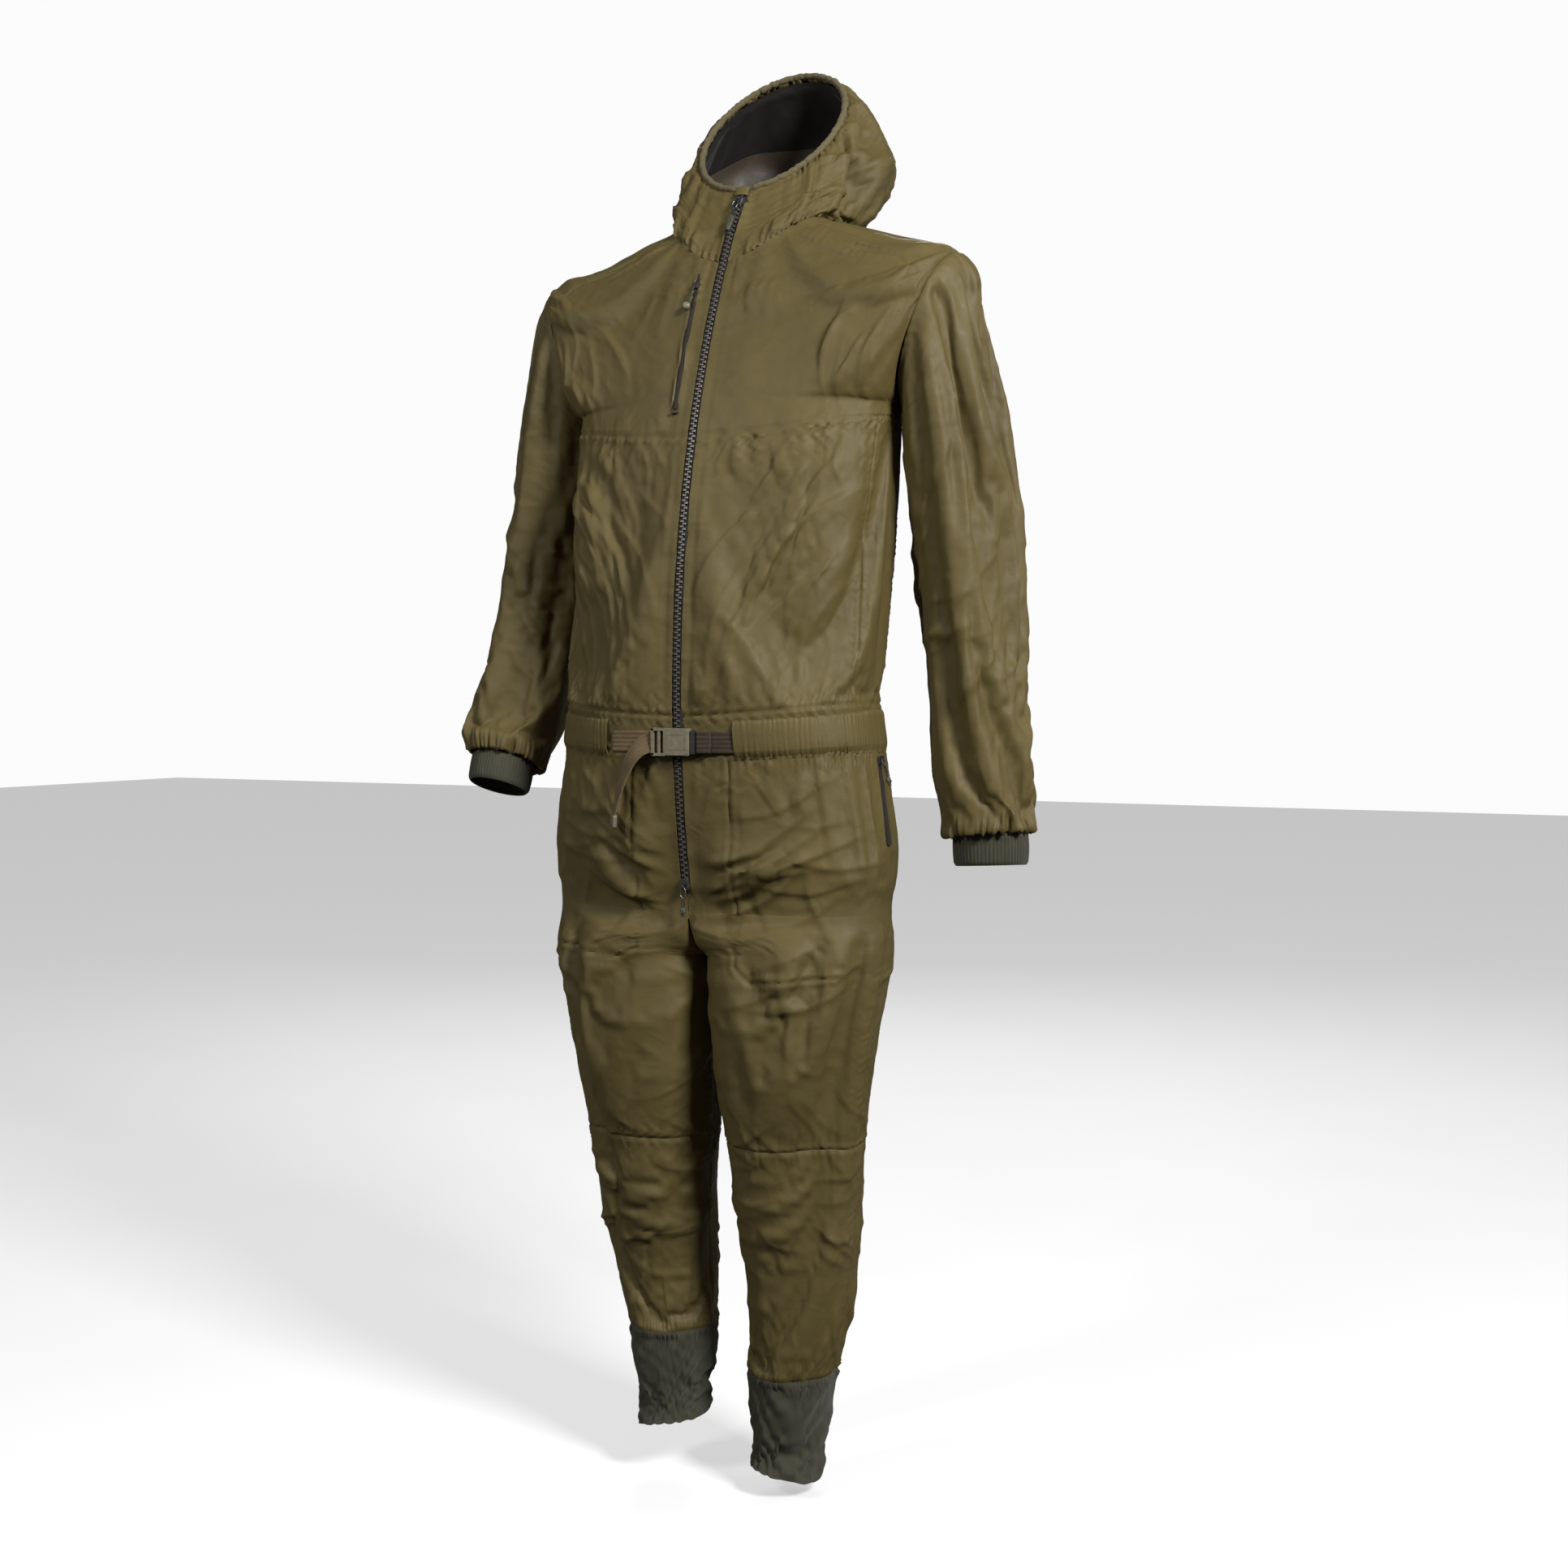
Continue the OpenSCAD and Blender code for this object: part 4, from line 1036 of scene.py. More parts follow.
def detail_trunk():
    for side in (1, -1):
        g, at_r, at_c = finer(front[side], FINE)
        v_col = np.interp(at_r, np.arange(len(trunk_v)), trunk_v)
        v = v_col[:, None] + np.zeros(g.p.shape[:2])
        w = cubic(np.repeat(front_ws[side][..., None], 3, 2), at_r, 0, False)
        w = cubic(w, at_c, 1, False)[..., 0]
        level_seat(g, v_col)
        plain = g.p.copy()
        n = g.outward(trunk_inside)
        span = row_span(g, v_col)
        edge_fade = smoothstep((1 - w) * down(v, span) / 12) * smoothstep(away(v, SEAT, TRUNK_RUN) / 14)
        add_crinkle(g, n, 100 + side, fade=edge_fade)
        x, z = g.p[..., 0] * side, g.p[..., 2]
        arc = w * down(v, span)
        drop = down(v, TRUNK_RUN)
        folded = creases(g.p.copy(), n, x, z, front_creases(side))
        g.p += (folded - g.p) * (edge_fade * smoothstep((x - 12) / 14))[..., None]
        g.p = creases(g.p, n, x, z, rise_creases(side))
        yoke = [(0.60, NECK), (0.58, 1), (0.62, TIP), (0.93, 2.75)]
        line = [(k * float(down(m, span)), float(down(m, TRUNK_RUN))) for k, m in yoke]
        d, run = near_line(arc, drop, line)
        g.p = seam(g.p, n, d, run, 1 + side, 0.9)
        d = away(v, CHEST_SEAM, TRUNK_RUN)
        g.p = seam(g.p, n, d, arc, 3 + side, 0.5, 9)
        hang = np.where(v > CHEST_SEAM, d, 99)
        g.p = seam(g.p, n, hang, arc, 303 + side, 1.7, 20, 13, 0)
        d = np.where((v > CHEST_SEAM) & (v < WAIST_TOP), np.abs(w - 0.82) * down(v, span), 99)
        g.p = seam(g.p, n, d, drop, 5 + side, 0.9)
        for mark, seed in ((WAIST_TOP, 7), (WAIST_BASE, 9)):
            g.p = seam(g.p, n, away(v, mark, TRUNK_RUN), arc, seed + side, 1.8, 18, 12, 1.2)
        d = np.where(v > WAIST_BASE, np.abs(x - 65), 99)
        g.p = seam(g.p, n, d, z, 11 + side, 0.8, 11, 12, 1.7)
        d = np.where(v < WAIST_TOP, np.abs(x - 17), 99)
        g.p = seam(g.p, n, d, z, 13 + side, 0.4, 8, 12, 0.8)
        lip = np.exp(-((x - ZIP_GAP - 1.5) / 2.4) ** 2) * smoothstep((z - ZIP_FOOT) / 8)
        g.p += n * (0.9 * lip)[..., None]
        if side < 0:
            open_slit(g, x, z)
        g.p = plain + (g.p - plain) * smoothstep((1 - w) * down(v, span) / 14)[..., None]
        name = "front_left" if side > 0 else "front_right"
        tag = "_left" if side > 0 else "_right"
        finish_cloth(name + "_cloth", g, trunk_inside,
                     ["chest" + tag, "front" + tag, "shoulder" + tag, "lower_front" + tag])
    g, at_r, at_c = finer(back, FINE)
    v = np.interp(at_r, np.arange(len(trunk_v)), trunk_v)[:, None] + np.zeros(g.p.shape[:2])
    w = np.interp(at_c, np.arange(len(back_w)), back_w)[None, :] + np.zeros(g.p.shape[:2])
    level_seat(g, v[:, 0])
    plain = g.p.copy()
    n = g.outward(trunk_inside)
    fade = smoothstep(away(v, SEAT, TRUNK_RUN) / 14) * smoothstep((1 - w) * 310 / 12)
    add_crinkle(g, n, 103, fade=fade)
    r = np.random.default_rng(203)
    lines = scatter(r, 16, (-190, -120), (-420, -260), 200, -58, 4.5, 2.6)
    lines += scatter(r, 16, (120, 190), (-420, -260), 200, 238, 4.5, 2.6)
    lines += scatter(r, 16, (-180, 180), (-600, -594), 90, 92, 4, 2.4)
    lines += scatter(r, 12, (-170, 170), (-668, -660), 80, 268, 4, 2.0)
    lines += scatter(r, 10, (-160, 160), (-130, -110), 70, 268, 4, 1.8)
    folded = creases(g.p.copy(), n, g.p[..., 0], g.p[..., 2], lines)
    g.p += (folded - g.p) * fade[..., None]
    arc = np.interp(at_c, np.arange(len(back_w)), np.linspace(0, 620, len(back_w)))[None, :] + 0 * v
    for mark, seed, pucker in ((2.8, 21, 0.9), (WAIST_TOP, 22, 1.8), (WAIST_BASE, 23, 1.8)):
        g.p = seam(g.p, n, away(v, mark, TRUNK_RUN), arc, seed, pucker, 18, 12)
    d = np.where((v > UNDERARM + 0.3) & (v < WAIST_TOP), np.abs(w - 0.8) * 310, 99)
    g.p = seam(g.p, n, d, down(v, TRUNK_RUN), 24, 0.9)
    d = np.where(v > WAIST_BASE, np.abs(g.p[..., 0]), 99)
    g.p = seam(g.p, n, d, g.p[..., 2], 25, 0.8, 11)
    g.p = plain + (g.p - plain) * smoothstep((1 - w) * 310 / 14)[..., None]
    finish_cloth("back_cloth", g, trunk_inside,
                 ["back_yoke", "back_panel", "seat", "side_left", "side_right"])


detail_trunk()

# --- Sleeves and legs in detail -------------------------------------------------------------------


def row_index(at_r, stations, mark):
    v = np.interp(at_r, np.arange(len(stations)), stations)
    return int(np.argmin(abs(v - mark)))


def sleeve_creases(side):
    """Long folds that fall from the shoulder and armpit, and short ones over the cuff."""
    r = np.random.default_rng(220 + side)
    turn = 2 * math.pi * 68
    lines = []
    for n_, z0, z1, length, slope, width, height in (
            (20, -300, -180, 190, -78, 4.5, 3.2), (16, -480, -330, 170, -74, 4.5, 2.8),
            (10, -560, -430, 90, -35, 4.0, 2.2), (16, -715, -690, 80, 88, 3.5, 2.6)):
        lines += scatter(r, n_, (0, turn), (z0, z1), length, slope, width, height)
    return lines + [(a0 + k * turn, b0, a1 + k * turn, b1, w_, h_)
                    for a0, b0, a1, b1, w_, h_ in lines for k in (-1, 1)]


def detail_arm(side):
    tag = "_left" if side > 0 else "_right"
    g, at_r, at_c = finer(arms[side], FINE)
    v = np.interp(at_r, np.arange(len(arm_v)), arm_v)[:, None] + np.zeros(g.p.shape[:2])
    a = (at_c * 360 / len(arm_a))[None, :] + 0 * v
    table = LEFT_ARM if side > 0 else RIGHT_ARM
    core = rows_at(table, v)[..., :3] * np.array([side, 1, 1])
    n = g.outward(core)
    fade = smoothstep(away(v, 0, ARM_RUN) / 12)
    add_crinkle(g, n, 110 + side, fade=fade)
    arc = a * math.pi / 180 * 68
    z = core[..., 2]
    folded = creases(g.p.copy(), n, arc, z, sleeve_creases(side))
    g.p += (folded - g.p) * fade[..., None]
    g.p = seam(g.p, n, away(v, 0, ARM_RUN), arc, 31 + side, 1.0, 16, 13, 0.8)
    g.p = seam(g.p, n, np.abs(np.mod(a - 196 + 180, 360) - 180) * 1.15, z, 33 + side, 0.8)
    # tight gathers where the shell meets the cuff, and a turned-in edge
    short = away(v, CUFF, ARM_RUN)
    g.p += n * (1.7 * smoothstep((34 - short) / 26) * wave(a / 10.0, 35 + side))[..., None]
    g.p -= n * (3.2 * smoothstep((7 - short) / 7))[..., None]
    obj = finish_cloth("sleeve" + tag + "_cloth", g, core, ["sleeve_cap" + tag, "sleeve" + tag], body=None)
    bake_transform(obj)
    # ribbed knit cuff
    rows = np.linspace(CUFF - 0.25, CUFF_END, 20)
    cols = np.arange(240) * 360 / 240
    p = arm(cols[None, :], rows[:, None], side)
    cuff_core = rows_at(table, rows)[:, None, :3] * np.array([side, 1, 1])
    c = Grid(p, True)
    n = c.outward(cuff_core)
    ribs = 0.5 * np.cos(np.radians(cols * 60))[None, :]
    turn = -2.2 * smoothstep((rows - 6.85) / 0.15)[:, None] ** 2
    belly = np.sin(np.pi * np.clip(rows - CUFF, 0, 1))[:, None]
    belly = belly * (1 + 0.4 * wave(cols / 40, 41 + side)[None, :])
    tuck = -3.5 * smoothstep((CUFF - 0.02 - rows) / 0.12)[:, None]
    c.p += n * (ribs + turn + belly + tuck - (2.2 if side > 0 else 5.0))[..., None]
    c.p[..., 2] -= 6 * smoothstep(rows - CUFF)[:, None]
    finish_cloth("cuff" + tag + "_knit", c, cuff_core, ["cuff" + tag],
                 "left_sleeve" if side > 0 else "right_sleeve", 2.0)


HEM_RISE = 12.0


def leg_creases(side):
    """Folds out from the crotch, slack over the knee and down the shin; side picks the random set."""
    r = np.random.default_rng(240 + side)
    turn = 2 * math.pi * 88
    lines = []
    for n_, z0, z1, length, slope, width, height in (
            (14, -960, -860, 130, 28, 5.0, 3.0), (12, -1080, -980, 120, -40, 4.5, 2.2),
            (16, -1190, -1090, 100, 12, 4.5, 3.0), (12, -1250, -1170, 110, -20, 4.5, 2.8),
            (14, -1330, -1240, 100, -70, 4.5, 2.0), (14, -1390, -1370, 60, 84, 4.0, 2.2)):
        lines += scatter(r, n_, (0, turn), (z0, z1), length, slope, width, height)
    return lines + [(a0 + k * turn, b0, a1 + k * turn, b1, w_, h_)
                    for a0, b0, a1, b1, w_, h_ in lines for k in (-1, 1)]


def detail_leg(side):
    tag = "_left" if side > 0 else "_right"
    body = "left_lower_leg" if side > 0 else "right_lower_leg"
    g, at_r, at_c = finer(legs[side], FINE)
    v = np.interp(at_r, np.arange(len(leg_v)), leg_v)[:, None] + np.zeros(g.p.shape[:2])
    a = (at_c * 360 / len(leg_a))[None, :] + 0 * v
    core = rows_at(LEG, v)[..., :3] * np.array([side, 1, 1])
    n = g.outward(core)
    fade = smoothstep(away(v, -1, LEG_RUN) / 14)
    shell = v < ANKLE
    add_crinkle(g, n, 120 + side, fade=fade * np.where(shell, 1, 0.15))
    arc = a * math.pi / 180 * 88
    z = core[..., 2]
    folded = creases(g.p.copy(), n, g.p[..., 0] * side, g.p[..., 2], rise_creases(side))
    g.p += (folded - g.p) * (smoothstep(-n[..., 1] / 0.35) * (v < 1.5))[..., None]
    folded = creases(g.p.copy(), n, arc, z, leg_creases(side))
    below = smoothstep((away(v, -1, LEG_RUN) - 30) / 60)
    g.p += (folded - g.p) * (below * smoothstep(away(v, ANKLE, LEG_RUN) / 8) * shell)[..., None]
    # front panel seam over the thigh, side seam, inner seam, knee seam
    bend = [(65.0, -760.0), (66, -896), (86, -914), (190, -904)]
    if side < 0:
        bend = [(65.0, -760.0), (67, -880), (90, -892), (190, -882)]
    d, run = near_line(g.p[..., 0] * side, g.p[..., 2], bend)
    g.p = seam(g.p, n, d + 99 * smoothstep((n[..., 1] + 0.5) / 0.3), run, 53 + side, 1.0, 11, 12, 1.7)
    for where, seed in ((90, 55), (272, 57)):
        d = np.where(shell, np.abs(np.mod(a - where + 180, 360) - 180) * 1.45, 99)
        g.p = seam(g.p, n, d + 99 * (1 - fade), z, seed + side, 0.9)
    g.p = seam(g.p, n, away(v, KNEE, LEG_RUN), arc, 59 + side, 1.3, 16, 13)
    g.p = seam(g.p, n, away(v, ANKLE, LEG_RUN), arc, 61 + side, 1.8, 14, 11)
    # the rounded hem of the stretch panel dips outside
    low = smoothstep((v - 6.6) / 1.4)
    dip = 9 * np.cos(np.radians(a - 80)) - 4 * np.cos(np.radians(2 * a))
    g.p[..., 2] -= low * (dip - HEM_RISE)
    n_low = smoothstep((v - 7.8) / 0.2)
    g.p -= n * (n_low * 1.5)[..., None]
    knee = row_index(at_r, leg_v, KNEE)
    ankle = row_index(at_r, leg_v, ANKLE)
    finish_cloth("upper_leg" + tag + "_cloth", cut(g, 0, knee), core[:knee + 1],
                 ["hip" + tag, "thigh" + tag])
    lower = finish_cloth("lower_leg" + tag + "_cloth", cut(g, knee, ankle), core[knee:ankle + 1],
                         ["knee" + tag, "shin" + tag], body=None)
    finish_cloth("ankle" + tag + "_knit", cut(g, ankle, len(g.p) - 1), core[ankle:],
                 ["ankle" + tag], body, 1.8)
    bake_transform(lower)


for side in (1, -1):
    detail_arm(side)
    detail_leg(side)

# --- Hood -----------------------------------------------------------------------------------------


def face_out(obj):
    """Turn the faces of a closed mesh outwards."""
    bm = bmesh.new()
    bm.from_mesh(obj.data)
    bmesh.ops.recalc_face_normals(bm, faces=bm.faces)
    bm.to_mesh(obj.data)
    bm.free()
    return obj


def tube_mesh(name, path, radii, sides=16, closed=False):
    """A round tube along points in millimetres."""
    path = np.asarray(path, float)
    radii = np.broadcast_to(np.asarray(radii, float), (len(path),))
    t = unit(np.gradient(path, axis=0))
    if closed:
        t = unit(np.roll(path, -1, 0) - np.roll(path, 1, 0))
    ref = np.array([0, 0, 1.0]) if abs(t[0][2]) < 0.8 else np.array([1.0, 0, 0])
    a = unit(np.cross(t[0], ref))
    rings = []
    for i in range(len(path)):
        a = unit(a - t[i] * np.dot(a, t[i]))
        b = np.cross(t[i], a)
        k = np.arange(sides) * 2 * math.pi / sides
        rings.append(path[i] + radii[i] * (np.cos(k)[:, None] * a + np.sin(k)[:, None] * b))
    rings = np.array(rings)
    g = Grid(rings, True)
    faces = g.faces().tolist()
    if closed:
        last, n = len(path) - 1, sides
        faces += [[last * n + k, last * n + (k + 1) % n, (k + 1) % n, k] for k in range(n)]
    else:
        faces.append(list(range(sides))[::-1])
        faces.append([(len(path) - 1) * sides + k for k in range(sides)])
    return face_out(new_mesh(name, rings, faces))


def detail_hood():
    """The hood's shell, its edge, its lining and facing, and the collar inside it."""
    g, at_r, at_c = finer(hood_outer, FINE)
    v = np.interp(at_r, np.arange(len(hood_v)), hood_v)[:, None] + np.zeros(g.p.shape[:2])
    a = np.interp(at_c, np.arange(len(hood_a)), hood_a)[None, :] + 0 * v
    inside = np.array([0.0, 10, 70])
    n = g.outward(inside)
    add_crinkle(g, n, 130)
    run = v * HOOD_RUN
    to_neck = (1 - v) * HOOD_RUN
    # elastic gathers behind the binding and along the neck
    gather = np.exp(-run / 22) * (1 - np.exp(-(run / 3.5) ** 2))
    clear = smoothstep((a - 20) / 30) * smoothstep((340 - a) / 30)
    g.p += n * (2.6 * gather * wave(a / 6.5, 131) * clear)[..., None]
    g.p += n * (2.2 * np.exp(-to_neck / 26) * wave(a / 8, 132))[..., None]
    # slack: a pleat beside the zip, one long fold over the shoulder, drag lines from the elastic
    slack = [(34, 205, 38, 120, 5, 5), (36, 125, 112, 178, 7, 6), (50, 20, 95, 120, 6, 4.5),
             (75, 10, 122, 95, 6, 4.5), (100, 8, 142, 80, 6, 4), (62, 60, 130, 150, 7, 4.5),
             (120, 190, 152, 110, 6, 4), (24, 190, 27, 130, 4, 3), (150, 30, 172, 130, 6, 4)]
    lines = [(a0 * HOOD_ARC, b0, a1 * HOOD_ARC, b1, width, height) for a0, b0, a1, b1, width, height in slack]
    for around in (a, 360 - a):
        g.p = creases(g.p, n, around * HOOD_ARC, run, lines)
    for where in (135, 225):
        d = abs(a - where) * 1.7
        g.p = seam(g.p, n, d, run, 133 + where, 1.4, 14, 11)
    g.p = seam(g.p, n, to_neck, a * 1.8, 136, 1.6, 16, 10)
    finish_cloth("hood_cloth", g, inside, ["hood_left", "hood_right", "hood_centre"])
    # elastic binding round the face opening
    k = np.linspace(8, 352, 300)
    path = rim(k) + 0.5 * np.stack([wave(k / 7, 137), wave(k / 9, 138), wave(k / 8, 139)], -1)
    binding = tube_mesh("hood_edge", path, 3.9 + 0.3 * wave(k / 5, 140), 14)
    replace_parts(binding, "hood_binding")
    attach(binding, "suit")
    # lining, a little inside the settled shell
    core = Grid(blur(hood_outer.p, 1, 1, False))
    lining = core.resample(np.linspace(0, 28.4, 46), np.linspace(1.0, 62.0, 124))
    n = lining.outward(inside)
    lv = np.linspace(0, 1, 46)
    sink = 4.2 + 5.8 * smoothstep(lv / 0.12)
    lining.p -= n * (sink[:, None] - 1.2 * wave(np.linspace(0, 20, 124), 141)[None, :]
                     * np.sin(np.pi * lv)[:, None])[..., None]
    finish_cloth("hood_lining_cloth", lining, inside, ["hood_lining"], t=0.8)
    # facing that covers the lower half of the lining
    low = core.resample(np.linspace(0, 27.6, 60), np.linspace(1.0, 62.0, 124))
    keep = np.linspace(0, 1, 34)
    around = np.linspace(0, 20, 124)
    top_v = 0.47 + 0.035 * wave(around / 6, 143)
    row = (top_v[None, :] + (0.97 - top_v)[None, :] * keep[:, None]) * 59
    i = np.minimum(row.astype(int), 58)
    k = (row - i)[..., None]
    col = np.arange(124)[None, :] + 0 * i
    facing = Grid(low.p[i, col] * (1 - k) + low.p[i + 1, col] * k)
    n = facing.outward(inside)
    ruck = 2.2 * wave(around[None, :] / 1.6 + keep[:, None] * 0.8, 144) * np.sin(np.pi * keep)[:, None]
    facing.p -= n * (13.5 + ruck)[..., None]
    finish_cloth("hood_facing_collar_cloth", facing, inside, [], t=0.8)
    # inner collar
    ca = np.linspace(16, 344, 150)
    cv = np.linspace(0, 1, 18)
    ring = neck_ring(ca)
    c = np.cos(np.radians(ca))
    low = np.stack([ring[:, 0] * 0.86, -66 + (ring[:, 1] + 66) * (0.895 - 0.055 * c), ring[:, 2] - 3], -1)
    lean = np.stack([0 * ca, 26 + 10 * c, 55 + 0 * ca], -1)
    collar = Grid(low[None] + cv[:, None, None] * lean[None])
    middle = np.array([0.0, -60, 30])
    n = collar.outward(middle)
    collar.p += n * (1.6 * np.sin(np.pi * cv)[:, None] * (1 + wave(ca / 20, 142)[None, :]))[..., None]
    finish_cloth("inner_collar_cloth", collar, middle, ["inner_collar"], t=2.4)
    made.append(binding)


detail_hood()

# --- Zip ------------------------------------------------------------------------------------------


def zip_frame(angle, out=0.0):
    """A point on the zip line and its three directions: left, outwards, up the zip."""
    t = math.radians(angle)
    outward = np.array([0, -math.cos(t), math.sin(t)])
    up = np.array([0, math.sin(t), math.cos(t)])
    at = np.array([0, ZIP_Y, ZIP_Z]) + (ZIP_R + out) * outward
    return at, np.array([1.0, 0, 0]), outward, up


def box_points(cx, cy, cz, sx, sy, sz, bevel):
    """Corners of a box with chamfered edges, as 24 points, for a convex hull."""
    pts = []
    for i in (-1, 1):
        for j in (-1, 1):
            for k in (-1, 1):
                pts.append((cx + i * (sx / 2 - bevel), cy + j * (sy / 2 - bevel), cz + k * sz / 2))
                pts.append((cx + i * (sx / 2 - bevel), cy + j * sy / 2, cz + k * (sz / 2 - bevel)))
                pts.append((cx + i * sx / 2, cy + j * (sy / 2 - bevel), cz + k * (sz / 2 - bevel)))
    return np.array(pts)


def hull_mesh(bm, pts):
    verts = [bm.verts.new(Vector(p) * MM) for p in pts]
    made_hull = bmesh.ops.convex_hull(bm, input=verts)
    return made_hull


def solid(name, groups, body, replaced=(), bevel=0.0):
    """One object from several convex groups of points in millimetres."""
    bm = bmesh.new()
    for pts in groups:
        hull_mesh(bm, pts)
    bmesh.ops.recalc_face_normals(bm, faces=bm.faces)
    mesh = bpy.data.meshes.new(name)
    bm.to_mesh(mesh)
    bm.free()
    obj = bpy.data.objects.new(name, mesh)
    bpy.context.scene.collection.objects.link(obj)
    if bevel:
        mod = obj.modifiers.new("bevel", "BEVEL")
        mod.width = bevel * MM
        mod.segments = 2
        mod.limit_method = "ANGLE"
        mod.angle_limit = math.radians(30)
        apply_modifiers(obj)
    mesh = obj.data
    mesh.polygons.foreach_set("use_smooth", [False] * len(mesh.polygons))
    if body:
        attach(obj, body)
    if replaced:
        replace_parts(obj, *replaced)
    return obj


ZIP_TOP, ZIP_BOTTOM = 29.6, -11.0
TOOTH_PITCH = 3.1


def zip_teeth():
    """Two rows of moulded teeth that mesh along the centre."""
    n = int(math.radians(ZIP_TOP - ZIP_BOTTOM) * ZIP_R / TOOTH_PITCH)
    points, faces = [], []
    tooth = [(-1.0, 0.0), (-0.62, 3.9), (0.62, 3.9), (1.0, 0.0), (1.15, -1.2), (-1.15, -1.2)]
    for i in range(n):
        angle = ZIP_BOTTOM + (i + 0.5) * (ZIP_TOP - ZIP_BOTTOM) / n
        side = 1 if i % 2 else -1
        at, left, out, up = zip_frame(angle)
        base = len(points)
        shape = [(1.15, 3.9), (1.15, 0.6), (0.8, -0.9), (-0.8, -0.9), (-1.15, 0.6), (-1.15, 3.9)]
        for level, shrink in ((-1.6, 1.0), (0.55, 1.0), (1.0, 0.78)):
            for u_, x_ in shape:
                x_mid = 1.6
                xx = x_mid + (x_ - x_mid) * shrink
                points.append(at + up * u_ * shrink * 1.15 + left * side * xx + out * level)
        for lv in range(2):
            for k in range(6):
                a = base + lv * 6 + k
                b = base + lv * 6 + (k + 1) % 6
                faces.append((a, b, b + 6, a + 6) if side > 0 else (b, a, a + 6, b + 6))
        top = [base + 12 + k for k in range(6)]
        faces.append(top if side > 0 else top[::-1])
        low = [base + k for k in range(6)]
        faces.append(low[::-1] if side > 0 else low)
    obj = new_mesh("zip_teeth_rows", points, faces, smooth=False)
    face_out(obj)
    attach(obj, "suit")
    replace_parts(obj, "zip_teeth")
    return obj


def zip_tapes():
    """The woven tapes behind the teeth, and the cord that the teeth grip."""
    angles = np.linspace(ZIP_BOTTOM, ZIP_TOP, 420)
    frames = [zip_frame(x) for x in angles]
    xs = np.array([-16, -12, -8, -5, -3.9, -3.2, -2.2, -1.2, 0, 1.2, 2.2, 3.2, 3.9, 5, 8, 12, 16.0])
    depth = np.array([-6, -3.5, -1.6, -0.9, -0.3, -0.9, -1.1, -1.2, -1.3, -1.2, -1.1, -0.9, -0.3, -0.9, -1.6,
                      -3.5, -6.0])
    p = np.array([[at + left * x + out * d for x, d in zip(xs, depth)] for at, left, out, _ in frames])
    g = Grid(p)
    obj = cloth_object("zip_tape_cloth", g, np.array([0, 0.0, -500]))
    thicken(obj, 0.7)
    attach(obj, "suit")
    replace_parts(obj, "zip_tapes")
    return obj


teeth = zip_teeth()
tapes = zip_tapes()


def local(at, left, out, up, pts):
    return [at + left * x + out * o + up * z for x, o, z in pts]


def plate(frame_, outline, o0, o1, crown=0.0):
    """A flat piece with an outline in left and up, between two distances out."""
    at, left, out, up = frame_
    pts = []
    for x, z in outline:
        pts.append(at + left * x + out * o0 + up * z)
        pts.append(at + left * x * (1 - crown) + out * o1 + up * z * (1 - crown))
    return np.array(pts)


def ring_outline(w0, w1, z0, z1, n=10):
    """A rounded tapering outline from the lower end z0 (half-width w0) to the upper z1 (w1)."""
    pts = []
    for k in range(n + 1):
        t = math.pi * k / n
        pts.append((w0 * math.cos(t + math.pi), z0 + w0 * 0.6 * (1 - math.sin(t))))
    for k in range(n + 1):
        t = math.pi * k / n
        pts.append((w1 * math.cos(t), z1 - w1 * 0.6 * (1 - math.sin(t))))
    return pts


def zip_slider(name, angle, body, flip):
    """A cast slider: a shield-shaped body with side flanges and the bridge its pull swings from."""
    fr = zip_frame(angle + 0.33)
    s = -1 if flip else 1
    shield = [(x * 1.0, s * z) for x, z in
              [(-4.3, -7), (4.3, -7), (5.6, -2), (6.6, 3), (6.2, 5.6), (4.4, 7.2), (1.2, 5.4), (-1.2, 5.4),
               (-4.4, 7.2), (-6.2, 5.6), (-6.6, 3), (-5.6, -2)]]
    groups = [plate(fr, shield, 1.5, 3.9, 0.1)]
    for side in (-1, 1):
        groups.append(plate(fr, [(side * 6.4, s * 5), (side * 4.8, s * 5), (side * 4.2, s * -6),
                                 (side * 5.4, s * -6)], -1.6, 2.2))
    pin_at = zip_frame(angle + 0.2)
    for x in (-1.5, 1.5):
        at, left, out, up = pin_at
        hoop = []
        for k in range(9):
            t = math.pi * k / 8
            hoop.append((2.9 * math.cos(t), 5.4 + 3.6 * math.sin(t)))
        for a, b in zip(hoop[:-1], hoop[1:]):
            pts = []
            for z, o in (a, b):
                for dx in (-0.75, 0.75):
                    pts.append(at + left * (x * 0 + dx * 1.5) + out * o + up * z)
                    pts.append(at + left * (x * 0 + dx * 1.5) + out * (o - 1.3) + up * z * 0.75)
            groups.append(np.array(pts))
    return solid(name, groups, body, [body], 0.25)


